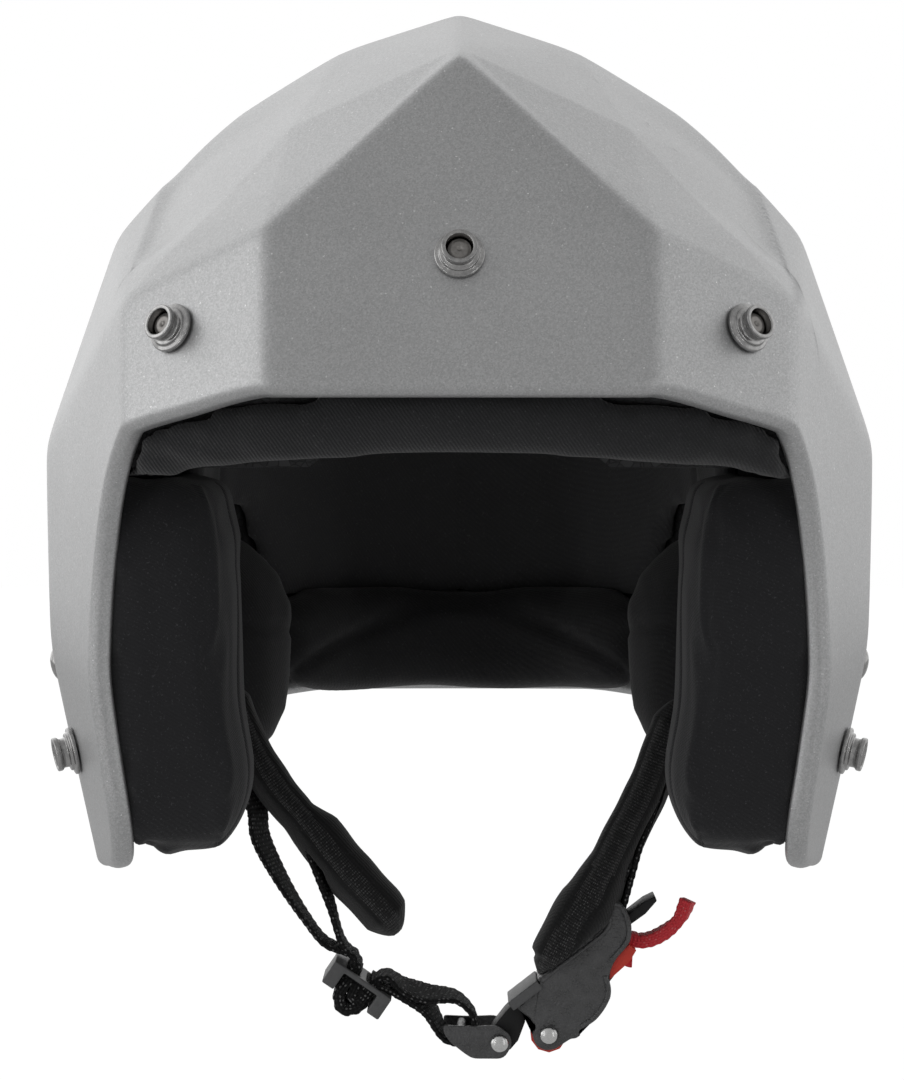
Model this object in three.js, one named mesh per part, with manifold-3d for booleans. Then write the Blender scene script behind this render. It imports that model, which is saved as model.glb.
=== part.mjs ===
import * as THREE from "three";
import { ConvexHull } from "three/addons/math/ConvexHull.js";
import { ConvexGeometry } from "three/addons/geometries/ConvexGeometry.js";
import { mergeVertices } from "three/addons/utils/BufferGeometryUtils.js";
import Module from "manifold-3d";

// Open-face helmet with a faceted shell, snap studs for a visor, a fabric lining and a ratchet chin strap.
// Millimetres. The wearer looks along -Y, +Z is up, and the origin is the middle of the head at ear level.

// Driving dimensions of the shell
const shell = { width: 249.6, front: 130, rear: 150, height: 258.5, drop: 80, wall: 4, lip: 6.4, skirt: 12 };
const gap = 0.3;
const weld = 0.01;
const overrun = 40;
const depth = shell.front + shell.rear;
const halfWidth = shell.width / 2;

// Head cavity in the foam, and the lining inside it
const liner = { side: 39.3, end: 35, top: 40.5, dome: 106 };
const crownHeight = shell.height - shell.drop - liner.top;
const cavity = {
  halfWidth: halfWidth - liner.side, halfDepth: depth / 2 - liner.end, crown: crownHeight,
  shoulder: crownHeight - liner.dome, middle: 12, lining: 8,
};

// Strap slot between the cheek pads and the neck pads, and the plane that the chin strap hangs in
const strap = { plane: 8, webbingWidth: 19, webbingThick: 1.6, swing: 10 };

// Materials
const tone = (color, roughness, metalness = 0) => () =>
  new THREE.MeshStandardMaterial({ color, roughness, metalness });
const paint = tone(0xb4b6b8, 0.3, 0.7);
const foam = tone(0x26272a, 0.95);
const knit = tone(0x161618, 0.95);
const mesh3d = tone(0x202023, 0.9);
const webbing = tone(0x141416, 0.8);
const nickel = tone(0x6f7072, 0.25, 1);
const steel = tone(0xc4c5c8, 0.3, 1);
const coated = tone(0x232427, 0.55, 0.3);
const polymer = tone(0x6d6f72, 0.5);
const red = tone(0xc4262b, 0.6);

const wasm = await Module();
wasm.setup();

const helmet = new THREE.Group();

// A closed geometry as a solid that can be joined and cut
function solid(geometry) {
  const bare = geometry.clone();
  bare.deleteAttribute("normal");
  bare.deleteAttribute("uv");
  const merged = mergeVertices(bare);
  return new wasm.Manifold(new wasm.Mesh({
    numProp: 3,
    vertProperties: new Float32Array(merged.attributes.position.array),
    triVerts: new Uint32Array(merged.index.array),
  }));
}

// A joined or cut solid as a geometry again
function geometryOf(body) {
  const made = body.simplify(weld).getMesh();
  const geometry = new THREE.BufferGeometry();
  const places = new Float32Array(made.numVert * 3);
  for (let i = 0; i < made.numVert; i += 1) {
    for (let k = 0; k < 3; k += 1) {
      places[3 * i + k] = made.vertProperties[made.numProp * i + k];
    }
  }
  geometry.setAttribute("position", new THREE.BufferAttribute(places, 3));
  geometry.setIndex(new THREE.BufferAttribute(new Uint32Array(made.triVerts), 1));
  return geometry;
}

function add(name, shape, finish, parent = helmet) {
  const geometry = shape.isBufferGeometry ? shape : geometryOf(shape);
  const mesh = new THREE.Mesh(geometry, finish());
  mesh.name = name;
  parent.add(mesh);
  return mesh;
}

const join = (...bodies) => bodies.reduce((all, one) => all.add(one));
const mirrored = (body) => body.mirror([1, 0, 0]);
const between = (a, b, share) => a + (b - a) * share;

// A side outline (y, z) run across the whole width
function acrossWidth(points, low, high) {
  const outline = new THREE.Shape(points.map(([y, z]) => new THREE.Vector2(y, z)));
  const geometry = new THREE.ExtrudeGeometry(outline, { depth: high - low, bevelEnabled: false });
  const turn = new THREE.Matrix4().makeBasis(
    new THREE.Vector3(0, 1, 0),
    new THREE.Vector3(0, 0, 1),
    new THREE.Vector3(1, 0, 0),
  );
  geometry.applyMatrix4(turn);
  geometry.translate(low, 0, 0);
  return geometry;
}

// A front outline (x, z) with its thickness along y
function acrossDepth(points, low, high, holes = []) {
  const outline = new THREE.Shape(points.map(([x, z]) => new THREE.Vector2(x, z)));
  holes.forEach((hole) => {
    outline.holes.push(new THREE.Path(hole.map(([x, z]) => new THREE.Vector2(x, z))));
  });
  const geometry = new THREE.ExtrudeGeometry(outline, { depth: high - low, bevelEnabled: false });
  geometry.rotateX(Math.PI / 2);
  geometry.translate(0, high, 0);
  return geometry;
}

// The same outline with every edge moved inwards
function insetOutline(points, inset) {
  const count = points.length;
  const area = points.reduce((sum, [y, z], i) => {
    const [nextY, nextZ] = points[(i + 1) % count];
    return sum + y * nextZ - nextY * z;
  }, 0);
  const side = Math.sign(area);
  return points.map((point, i) => {
    const before = points[(i + count - 1) % count];
    const after = points[(i + 1) % count];
    const a = new THREE.Vector2(point[0] - before[0], point[1] - before[1]).normalize();
    const b = new THREE.Vector2(after[0] - point[0], after[1] - point[1]).normalize();
    const inwards = new THREE.Vector2(-(a.y + b.y), a.x + b.x).normalize().multiplyScalar(side);
    const spread = Math.abs(inwards.dot(new THREE.Vector2(-b.y, b.x)));
    return [point[0] + (inwards.x * inset) / spread, point[1] + (inwards.y * inset) / spread];
  });
}

const box = (low, high) => {
  const size = high.map((value, i) => value - low[i]);
  const geometry = new THREE.BoxGeometry(...size);
  geometry.translate(...low.map((value, i) => value + size[i] / 2));
  return solid(geometry);
};

// A round bar along y, at (x, z)
function barAlongDepth(x, z, radius, low, high, sides = 20) {
  const geometry = new THREE.CylinderGeometry(radius, radius, high - low, sides);
  geometry.translate(x, (low + high) / 2, z);
  return geometry;
}

// Shell facets: corners as shares of half width, depth and height, right-hand side and centre line
const frontCornerShares = [
  [0, 0.518, 1], [0, 0.207, 0.917], [0.288, 0.507, 0.954], [0.537, 0.507, 0.882], [0.709, 0.493, 0.803],
  [0.825, 0.471, 0.735], [0.433, 0.093, 0.716], [0.757, 0.186, 0.646], [1, 0.464, 0.487],
  [0.982, 0.607, 0.47], [0.976, 0.421, 0.255], [0.97, 0.607, 0.25], [0.861, 0.428, 0], [0.85, 0.607, 0],
  [0, 0, 0.464], [0.417, 0, 0.464], [0.737, 0.104, 0.456], [0.785, 0.15, 0.232], [0.737, 0.196, 0],
  [0.361, 0.089, 0],
];
const rearCornerShares = [
  [0, 0.793, 0.89], [0.401, 0.929, 0.689], [0.737, 0.793, 0.658], [0, 1, 0.441], [0.401, 0.989, 0.426],
  [0.705, 0.879, 0.441], [0.929, 0.7, 0.387], [0.369, 0.957, 0.116], [0.673, 0.85, 0.116],
  [0.875, 0.69, 0.116], [0.321, 0.921, 0], [0.609, 0.821, 0], [0.8, 0.68, 0],
];
const shellPoint = ([x, y, z]) =>
  new THREE.Vector3(x * halfWidth, -shell.front + y * depth, -shell.drop + z * shell.height);
const shellCorners = [...frontCornerShares, ...rearCornerShares].flatMap((share) => {
  const corner = shellPoint(share);
  return corner.x > 0 ? [corner, new THREE.Vector3(-corner.x, corner.y, corner.z)] : [corner];
});

// The facets' planes, each as an outward normal and its distance from the origin
const facets = [];
for (const face of new ConvexHull().setFromPoints(shellCorners).faces) {
  const known = facets.some(({ normal, distance }) =>
    normal.distanceTo(face.normal) < 1e-6 && Math.abs(distance - face.constant) < 1e-6);
  if (!known) {
    facets.push({ normal: face.normal.clone(), distance: face.constant });
  }
}

// The shell's outer form, or an inner form with its facets moved inwards and its open bottom run past the shell's
function shellForm(inset) {
  const duals = facets.map(({ normal, distance }) => {
    const open = inset > 0 && normal.z < -0.99;
    return normal.clone().divideScalar(open ? distance + shell.skirt : distance - inset);
  });
  const corners = new ConvexHull().setFromPoints(duals).faces.map((face) =>
    face.normal.clone().divideScalar(face.constant));
  return solid(new ConvexGeometry(corners));
}

// Where a line along one axis leaves the shell, and the facet that it leaves through
function onShell(axis, sign, place) {
  let best = null;
  for (const { normal, distance } of facets) {
    const slope = normal[axis] * sign;
    if (slope > 0) {
      const rest = distance - normal.dot(new THREE.Vector3(...place));
      const reach = rest / slope;
      if (best === null || reach < best.reach) {
        best = { reach, normal };
      }
    }
  }
  const point = new THREE.Vector3(...place);
  point[axis] += sign * best.reach;
  return { point, normal: best.normal.clone() };
}

// Side outline of the shell (y, z) as shares of depth and height: brow, cheek edge, bottom and rear rim
const shellOutlineShares = [
  [-0.143, 0.551], [0.036, 0.542], [0.086, 0.522], [0.121, 0.507], [0.15, 0.484], [0.179, 0.449],
  [0.2, 0.402], [0.218, 0.34], [0.229, 0.255], [0.236, 0.155], [0.246, 0.08], [0.264, 0.041],
  [0.296, 0.0185], [0.39, 0.008], [0.507, 0.002], [0.625, 0.035], [0.768, 0.108], [0.893, 0.166], [1.09, 0.19],
  [1.09, 1.083], [-0.143, 1.083],
];
const sidePoint = ([y, z]) => [-shell.front + y * depth, -shell.drop + z * shell.height];
const shellOutline = shellOutlineShares.map(sidePoint);
const prism = (points) => solid(acrossWidth(points, -shell.width, shell.width));

// Snap studs for the visor: a lathe-turned stud and the rivet that holds it
const stud = {
  flange: 7, flangeThick: 1.4, step: 5.6, stepThick: 1, neck: 4.3, mouth: 5, mouthThick: 1.3,
  height: 6.3, recess: 3.7, floor: 2.6, bore: 2.2,
};
const post = { head: 3.3, headThick: 1, shaft: 1.9, tail: 4, tailThick: 1.3, dome: 0.4 };
const middleShare = shell.front / depth;
const studPlaces = [
  { name: "brow_centre", axis: "y", sign: -1, placeShare: [0, middleShare, 0.6867] },
  { name: "brow_left", axis: "y", sign: -1, placeShare: [-0.633, middleShare, 0.6112] },
  { name: "brow_right", axis: "y", sign: -1, placeShare: [0.633, middleShare, 0.6112] },
  { name: "side_left", axis: "x", sign: -1, placeShare: [0, 0.3857, 0.1431] },
  { name: "side_right", axis: "x", sign: 1, placeShare: [0, 0.3857, 0.1431] },
].map((one) => ({ ...one, ...onShell(one.axis, one.sign, shellPoint(one.placeShare).toArray()) }));

// Strap anchors: a domed rivet through the shell's side, a spacer and a slotted tab inside
const anchor = {
  y: strap.plane, z: -19, dome: 5, domeHeight: 2.9, shaft: 2.4, tail: 4.4, tailThick: 1.2,
  spacer: 4.6, spacerThick: 3, tabThick: 1.6, tabWidth: 27, tabTop: 7.5, tabBottom: 18.5,
  slotTop: 9.6, slotBottom: 14.2, slotWidth: 21.6, play: 0.35,
};
const anchorPlaces = { left: onShell("x", -1, [0, anchor.y, anchor.z]), right: onShell("x", 1, [0, anchor.y, anchor.z]) };

const roundSides = 12;
const lathe = (profile, sides = roundSides) => {
  const geometry = new THREE.LatheGeometry(profile.map(([r, h]) => new THREE.Vector2(r, h)), sides);
  geometry.rotateX(Math.PI / 2);
  return geometry;
};
const disc = (radius, low, high, sides = roundSides) =>
  lathe([[0, low], [radius, low], [radius, high], [0, high]], sides);
const ring = (inner, outer, low, high) =>
  lathe([[inner, low], [outer, low], [outer, high], [inner, high], [inner, low]]);

// A geometry along +Z set on the shell: its base on the facet, its axis along the facet's normal
function seated(geometry, { point, normal }) {
  const placed = geometry.clone();
  const turn = new THREE.Quaternion().setFromUnitVectors(new THREE.Vector3(0, 0, 1), normal);
  placed.applyQuaternion(turn);
  placed.translate(point.x, point.y, point.z);
  return placed;
}

// Outer shell: a thin faceted wall whose edge turns in to a broad rounded lip
const shellOuter = shellForm(0);
const lipInset = shell.wall + gap;
const wallBand = shellOuter.subtract(shellForm(shell.wall)).intersect(prism(shellOutline));
const lipBand = shellOuter.subtract(shellForm(shell.lip)).intersect(prism(shellOutline))
  .subtract(prism(insetOutline(shellOutline, shell.wall)));
const postHole = disc(post.shaft + gap, -overrun / 4, overrun / 4);
const anchorHole = disc(anchor.shaft + gap, -overrun / 4, overrun / 4);
const shellHoles = [
  ...studPlaces.map((place) => solid(seated(postHole, place))),
  ...Object.values(anchorPlaces).map((place) => solid(seated(anchorHole, place))),
];
const outerShell = shellHoles.reduce((body, hole) => body.subtract(hole), join(wallBand, lipBand));
add("outer_shell", outerShell, paint);

// Head cavity as a round-topped well, at a clearance from the foam's own wall
function headWell(inset, sides = 28, steps = 7) {
  const radius = cavity.halfWidth - inset;
  const rise = cavity.crown - cavity.shoulder - inset;
  const arc = Array.from({ length: steps }, (_, i) => {
    const angle = ((i + 1) / steps) * (Math.PI / 2);
    return [radius * Math.cos(angle), cavity.shoulder + rise * Math.sin(angle)];
  });
  arc[steps - 1][0] = 0;
  const profile = [[0, -shell.height], [radius, -shell.height], [radius, cavity.shoulder], ...arc];
  const geometry = lathe(profile, sides);
  geometry.scale(1, (cavity.halfDepth - inset) / radius, 1);
  geometry.translate(0, cavity.middle, 0);
  return solid(geometry);
}

// Foam liner: fills the shell down to the cheek pads, to ear level behind them and to the neck at the back
const foamEdge = { cheek: 40, cheekRear: -7, ear: 24, earRear: 68, neckFront: 78, neck: -24, neckRear: -27 };
const foamLine = [
  [-shell.width, foamEdge.cheek], [foamEdge.cheekRear, foamEdge.cheek],
  [foamEdge.cheekRear, foamEdge.ear], [foamEdge.earRear, foamEdge.ear], [foamEdge.neckFront, foamEdge.neck],
  [shell.width, foamEdge.neckRear], [shell.width, shell.height], [-shell.width, shell.height],
];
const studPocket = disc(post.tail + gap, -shell.wall - post.tailThick - 2 * gap, 0);
const studPockets = studPlaces.map((place) => solid(seated(studPocket, place)));
const foamBody = shellForm(lipInset).intersect(prism(insetOutline(shellOutline, lipInset)))
  .intersect(prism(foamLine)).subtract(headWell(0));
add("foam_liner", studPockets.reduce((body, pocket) => body.subtract(pocket), foamBody), foam);

// Crown lining: a fabric-covered dome inside the foam
const crownLine = {
  front: 62, temple: 58, templeY: -75, cheek: foamEdge.cheek + 2, cheekFront: -70, ear: 27, earRear: 68, neckFront: 78, neck: -1,
};
const crownOutline = [
  [-shell.front - overrun, crownLine.front], [crownLine.templeY, crownLine.temple],
  [crownLine.cheekFront, crownLine.cheek], [foamEdge.cheekRear, crownLine.cheek],
  [foamEdge.cheekRear, crownLine.ear], [crownLine.earRear, crownLine.ear],
  [crownLine.neckFront, crownLine.neck], [shell.rear + overrun, crownLine.neck],
  [shell.rear + overrun, shell.height], [-shell.front - overrun, shell.height],
];
const crownLining = headWell(gap).subtract(headWell(cavity.lining)).intersect(prism(crownOutline));
add("crown_lining", crownLining, knit);

// A rounded block on eight corners: place() turns shares from -1 to 1 into a point
function cushion(power, detail, place) {
  const geometry = new THREE.BoxGeometry(2, 2, 2, ...detail);
  const spots = geometry.attributes.position;
  for (let i = 0; i < spots.count; i += 1) {
    const share = [spots.getX(i), spots.getY(i), spots.getZ(i)];
    const size = share.reduce((sum, value) => sum + Math.abs(value) ** power, 0) ** (1 / power);
    spots.setXYZ(i, ...place(share.map((value) => value / size)));
  }
  return solid(geometry);
}
const mix = (low, high, share) => between(low, high, (share + 1) / 2);

// Cheek pads: thick fabric-covered foam blocks, clipped to a backing against the shell
const cheek = {
  inner: halfWidth - 56.8, innerRear: halfWidth - 61.8, outer: halfWidth - 10.8, front: -69, rearTop: -9, rearBottom: -24, top: foamEdge.cheek - gap, bottom: -78.5, reveal: 2,
  backingInner: halfWidth - 36.8, backingFront: -50, backingTop: foamEdge.cheek - 5, backingBottom: -66, backingRearGap: 5,
  roundness: 7, crown: 1.5,
};
const cheekRear = (share) => mix(cheek.rearBottom, cheek.rearTop, share);
const cheekBlock = cushion(cheek.roundness, [6, 8, 8], ([a, b, c]) => [
  mix(mix(cheek.inner, cheek.innerRear, b), cheek.outer, a) - cheek.crown * (1 - b * b) * (1 - c * c) * (a < 0 ? 1 : 0),
  mix(cheek.front, cheekRear(c), b),
  mix(cheek.bottom, cheek.top, c),
]);
const cheekBacking = cushion(4 * cheek.roundness, [2, 4, 4], ([a, b, c]) => [
  mix(cheek.backingInner, halfWidth, a),
  mix(cheek.backingFront, cheekRear(c) - cheek.backingRearGap, b),
  mix(cheek.backingBottom, cheek.backingTop, c),
]).intersect(shellForm(lipInset + gap));
const backingRoom = box(
  [cheek.backingInner - gap, cheek.backingFront - gap, -shell.height],
  [shell.width, shell.rear, shell.height],
);
const cheekPad = cheekBlock.intersect(shellForm(shell.lip + gap))
  .intersect(prism(insetOutline(shellOutline, cheek.reveal))).subtract(backingRoom);

// Press fasteners between each cheek pad and its backing
const press = { radius: 4.5, reach: 3, sink: 2.6 };
const pressPlaces = [
  { y: -40, z: 2 }, { y: -27, z: 2 }, { y: -38, z: -48 },
];
const pressSides = 8;
const pressStud = solid(disc(press.radius, gap, press.reach - gap, pressSides))
  .add(solid(disc(press.radius / 2, -press.sink + gap, press.reach + press.sink - gap, pressSides)));
const pressRoom = solid(disc(press.radius + gap, 0, press.reach, pressSides))
  .add(solid(disc(press.radius / 2 + gap, -press.sink, press.reach + press.sink, pressSides)));
const atPress = (body, { y, z }) => {
  const turn = new THREE.Matrix4().makeRotationY(Math.PI / 2);
  turn.setPosition(cheek.backingInner - press.reach, y, z);
  return body.transform(turn.elements);
};
const pressRooms = pressPlaces.map((place) => atPress(pressRoom, place));
const cheekPadPressed = pressRooms.reduce((body, room) => body.subtract(room), cheekPad);
const cheekBackingPressed = [...pressRooms, ...studPockets].reduce((body, room) => body.subtract(room), cheekBacking);

// Neck pads: padded blocks behind the strap slot, on the foam's lower edge and the shell's side
const neckPad = {
  innerFront: halfWidth - 60.8, innerRear: halfWidth - 74.8, outer: halfWidth - 8.8,
  frontTop: 28, frontBottom: 38, rear: 68, top: foamEdge.ear - gap,
  bottomFront: -58, bottomRear: -46, roundness: 5, crown: 3, hem: 3, lean: 26, leanPower: 2.2,
};
const neckPadBody = cushion(neckPad.roundness, [8, 8, 8], ([a, b, c]) => [
  mix(mix(neckPad.innerFront, neckPad.innerRear, b) + neckPad.lean * Math.max(0, c) ** neckPad.leanPower, neckPad.outer, a)
    - neckPad.crown * (1 - b * b) * (1 - c * c) * (a < 0 ? 1 : 0),
  mix(mix(neckPad.frontBottom, neckPad.frontTop, c), neckPad.rear, b),
  mix(mix(neckPad.bottomFront, neckPad.bottomRear, b), neckPad.top, c),
]).intersect(shellForm(shell.lip + gap)).intersect(prism(insetOutline(shellOutline, neckPad.hem)));

// A closed band swept along a curve: at() gives half sizes, turn and roundness for each place
function sweep(points, steps, sides, at) {
  const curve = new THREE.CatmullRomCurve3(points.map((p) => new THREE.Vector3(...p)), false, "centripetal");
  const places = [];
  const faces = [];
  const across = new THREE.Vector3();
  for (let i = 0; i <= steps; i += 1) {
    const share = i / steps;
    const centre = curve.getPointAt(share);
    const along = curve.getTangentAt(share);
    const { half, thick, turn = 0, power = 2, wide = [0, 1, 0] } = at(share);
    const side = new THREE.Vector3(...wide);
    side.addScaledVector(along, -side.dot(along)).normalize().applyAxisAngle(along, turn);
    across.crossVectors(along, side).normalize();
    for (let k = 0; k < sides; k += 1) {
      const angle = ((k + 1 / 2) / sides) * 2 * Math.PI;
      const [c, s] = [Math.cos(angle), Math.sin(angle)];
      const round = (Math.abs(c) ** power + Math.abs(s) ** power) ** (-1 / power);
      const spot = centre.clone().addScaledVector(side, c * round * half).addScaledVector(across, s * round * thick);
      places.push(spot.x, spot.y, spot.z);
    }
  }
  for (let i = 0; i < steps; i += 1) {
    for (let k = 0; k < sides; k += 1) {
      const [a, b] = [i * sides + k, i * sides + ((k + 1) % sides)];
      faces.push(a, b, b + sides, a, b + sides, a + sides);
    }
  }
  for (let k = 1; k < sides - 1; k += 1) {
    const last = steps * sides;
    faces.push(0, k + 1, k, last, last + k, last + k + 1);
  }
  const geometry = new THREE.BufferGeometry();
  geometry.setAttribute("position", new THREE.BufferAttribute(new Float32Array(places), 3));
  geometry.setIndex(faces);
  const body = solid(geometry);
  if (body.volume() > 0) {
    return body;
  }
  const flipped = faces.flatMap((_, i) => (i % 3 ? [] : [faces[i], faces[i + 2], faces[i + 1]]));
  geometry.setIndex(flipped);
  return solid(geometry);
}

// Neck roll: a padded roll round the back of the neck, inside the foam
const neckRoll = {
  half: 15, thick: 10.4, z: -18, start: 40, bends: 12, power: 3, taperShare: 0.35, endShare: 0.12,
};
const rollHalfWidth = cavity.halfWidth - neckRoll.thick - 3 * gap;
const rollHalfDepth = cavity.halfDepth - neckRoll.thick - 3 * gap;
const rollPath = Array.from({ length: neckRoll.bends + 1 }, (_, i) => {
  const angle = THREE.MathUtils.degToRad(between(neckRoll.start, 180 - neckRoll.start, i / neckRoll.bends));
  return [rollHalfWidth * Math.cos(angle), cavity.middle + rollHalfDepth * Math.sin(angle), neckRoll.z];
});
const endTaper = (share, reach) => Math.min(1, Math.min(share, 1 - share) / reach);
const neckRollBody = sweep(rollPath, 22, 12, (share) => ({
  half: neckRoll.half * (1 - neckRoll.taperShare * (1 - Math.sqrt(endTaper(share, neckRoll.endShare)))),
  thick: neckRoll.thick * (1 - neckRoll.taperShare * (1 - Math.sqrt(endTaper(share, neckRoll.endShare)))),
  power: neckRoll.power,
  wide: [0, 0, 1],
}));

// Brow pad: a padded roll below the brow, drooping towards the temples
const browEdgeShare = [0.036, 0.542];
const browEdge = sidePoint(browEdgeShare)[1];
const brow = {
  half: 10.4, sideHalf: 11.6, thick: 9.4, power: 3.2, front: 29.5 - shell.front, side: halfWidth - 28.8, sideY: 60 - shell.front,
  middleZ: browEdge - 7.3, sideZ: browEdge - 14.5, endShare: 0.06, taperShare: 0.2,
};
const browPathShares = [
  [-1, 1, 1], [-0.85, 0.62, 0.62], [-0.62, 0.3, 0.33], [-0.33, 0.08, 0.08], [0, 0, 0],
  [0.33, 0.08, 0.08], [0.62, 0.3, 0.33], [0.85, 0.62, 0.62], [1, 1, 1],
];
const browPath = browPathShares.map(([x, y, z]) => [
  x * brow.side, between(brow.front, brow.sideY, y), between(brow.middleZ, brow.sideZ, z),
]);
const browBody = sweep(browPath, 26, 12, (share) => ({
  half: between(brow.half, brow.sideHalf, Math.abs(2 * share - 1) ** 2)
    * (1 - brow.taperShare * (1 - Math.sqrt(endTaper(share, brow.endShare)))),
  thick: brow.thick * (1 - brow.taperShare * (1 - Math.sqrt(endTaper(share, brow.endShare)))),
  power: brow.power,
  wide: [0, 0, 1],
})).intersect(shellForm(shell.lip + gap)).subtract(prism(foamLine).intersect(
  prism(insetOutline(shellOutline, lipInset)).intersect(shellForm(shell.wall)).subtract(headWell(0))));

add("brow_pad", browBody, knit);
add("neck_roll", neckRollBody.subtract(neckPadBody).subtract(mirrored(neckPadBody)), knit);
for (const [side, place] of [["left", mirrored], ["right", (body) => body]]) {
  add(`cheek_pad_${side}`, place(cheekPadPressed), knit);
  add(`cheek_backing_${side}`, place(cheekBackingPressed), foam);
  add(`neck_pad_${side}`, place(neckPadBody), knit);
  pressPlaces.forEach((spot, i) => {
    add(`cheek_press_${side}_${i + 1}`, place(atPress(pressStud, spot)), steel);
  });
}

// Visor studs and their rivets
const studBody = lathe([
  [stud.bore, gap], [stud.flange, gap], [stud.flange, stud.flangeThick],
  [stud.step, stud.flangeThick + gap], [stud.step, stud.flangeThick + stud.stepThick],
  [stud.neck, stud.flangeThick + stud.stepThick + gap], [stud.neck, stud.height - stud.mouthThick - gap],
  [stud.mouth, stud.height - stud.mouthThick], [stud.mouth, stud.height],
  [stud.recess, stud.height], [stud.recess, stud.floor], [stud.bore, stud.floor], [stud.bore, gap],
]);
const tailTop = -shell.wall - gap;
const postBody = lathe([
  [0, tailTop - post.tailThick], [post.tail, tailTop - post.tailThick], [post.tail, tailTop],
  [post.shaft, tailTop], [post.shaft, stud.floor + gap], [post.head, stud.floor + gap],
  [post.head, stud.floor + gap + post.headThick], [post.head / 2, stud.floor + gap + post.headThick + post.dome],
  [0, stud.floor + gap + post.headThick + post.dome],
]);
for (const place of studPlaces) {
  add(`stud_${place.name}`, seated(studBody, place), nickel);
  add(`stud_rivet_${place.name}`, seated(postBody, place), steel);
}

// Strap anchors, built for the right-hand side and mirrored
const anchorSpot = anchorPlaces.right;
const stack = {
  spacer: -shell.wall - gap,
  tab: -shell.wall - 2 * gap - anchor.spacerThick,
  tail: -shell.wall - 3 * gap - anchor.spacerThick - anchor.tabThick,
};
const anchorRivet = lathe([
  [0, stack.tail - anchor.tailThick], [anchor.tail, stack.tail - anchor.tailThick], [anchor.tail, stack.tail],
  [anchor.shaft, stack.tail], [anchor.shaft, gap], [anchor.dome, gap], [anchor.dome, 2 * gap],
  [anchor.dome * Math.cos(Math.PI / 6), anchor.domeHeight / 2],
  [anchor.dome * Math.cos(Math.PI / 3), anchor.domeHeight * Math.cos(Math.PI / 6)], [0, anchor.domeHeight],
]);
const anchorSpacer = ring(anchor.shaft + gap, anchor.spacer, stack.spacer - anchor.spacerThick, stack.spacer);
const tabOutline = new THREE.Shape();
const tabHalf = anchor.tabWidth / 2;
tabOutline.moveTo(-tabHalf, -anchor.tabBottom);
tabOutline.lineTo(tabHalf, -anchor.tabBottom);
tabOutline.lineTo(tabHalf, -anchor.slotTop);
tabOutline.lineTo(anchor.tabTop, 0);
tabOutline.absarc(0, 0, anchor.tabTop, 0, Math.PI, false);
tabOutline.lineTo(-tabHalf, -anchor.slotTop);
const tabHole = new THREE.Path().absarc(0, 0, anchor.shaft + anchor.play, 0, 2 * Math.PI, true);
const slotHalf = anchor.slotWidth / 2;
const tabSlot = new THREE.Path([
  new THREE.Vector2(-slotHalf, -anchor.slotTop), new THREE.Vector2(slotHalf, -anchor.slotTop),
  new THREE.Vector2(slotHalf, -anchor.slotBottom), new THREE.Vector2(-slotHalf, -anchor.slotBottom),
]);
tabOutline.holes.push(tabHole, tabSlot);
const tabPlate = new THREE.ExtrudeGeometry(tabOutline, {
  depth: anchor.tabThick, bevelEnabled: false, curveSegments: roundSides,
});
tabPlate.translate(0, 0, stack.tab - anchor.tabThick);
const tabUp = new THREE.Vector3().crossVectors(anchorSpot.normal, new THREE.Vector3(0, 1, 0)).normalize();
const tabWide = new THREE.Vector3().crossVectors(tabUp, anchorSpot.normal).normalize();
const tabFrame = new THREE.Matrix4().makeBasis(tabWide, tabUp, anchorSpot.normal).setPosition(anchorSpot.point);
tabPlate.applyMatrix4(tabFrame);

// A place beside the right-hand tab: how far inside the shell, and how far above the rivet
const besideTab = (inside, above) => {
  const spot = new THREE.Vector3(0, above, -inside).applyMatrix4(tabFrame);
  return [spot.x, 0, spot.z];
};

// The chin strap hangs in one plane: places are shares of the half span and of the drop below the rivets
const chin = { span: anchorSpot.point.x, drop: 120 };
const chinPlace = ([x, z]) => [x * chin.span, 0, anchor.z - z * chin.drop];
const inStrap = (body) => body.translate([0, strap.plane, 0]);
const ribbonSides = 4;
const ribbonPower = 40;
function ribbon(points, steps, { wide = strap.webbingWidth, thick = strap.webbingThick } = {}) {
  return sweep(points, steps, ribbonSides, () => ({ half: wide / 2, thick: thick / 2, power: ribbonPower }));
}

// Webbing threaded round a tab's lower bar
const barMiddle = (anchor.slotBottom + anchor.tabBottom) / 2;
const around = { clear: 2, near: 1.2, slot: 1.4, lead: 13 };
const tabInside = -stack.tab + anchor.tabThick;
const tabOutside = -stack.tab;
const tabLoop = [
  besideTab(tabInside + around.lead / 2, -anchor.slotTop - around.slot),
  besideTab(tabInside + gap, -anchor.slotTop - around.slot),
  besideTab(tabOutside - around.near, -anchor.slotBottom + around.clear),
  besideTab(tabOutside - around.near - gap, -barMiddle),
  besideTab(tabOutside - around.near, -anchor.tabBottom - 2 * gap),
  besideTab(tabInside - around.near, -anchor.tabBottom - around.clear),
  besideTab(tabInside + around.clear, -anchor.tabBottom - around.near),
];
const leftOf = ([x, y, z]) => [-x, y, z];

// Ladder slider: its own frame runs along the strap, with its plate on top and its ends turned down
const slider = {
  length: 20.4, half: 13, plate: 1.6, endDrop: 7.5, endThick: 4.2, barStart: 8.6, barEnd: 11.4, slotHalf: 10.8,
  slotEnd: 16.2, tilt: 34.4, placeShare: [-0.307, 0.735],
};
const sliderFrame = new THREE.Matrix4().makeRotationY(THREE.MathUtils.degToRad(slider.tilt));
sliderFrame.setPosition(...chinPlace(slider.placeShare));
const bySlider = (a, b) => new THREE.Vector3(a, 0, b).applyMatrix4(sliderFrame).toArray();

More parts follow.
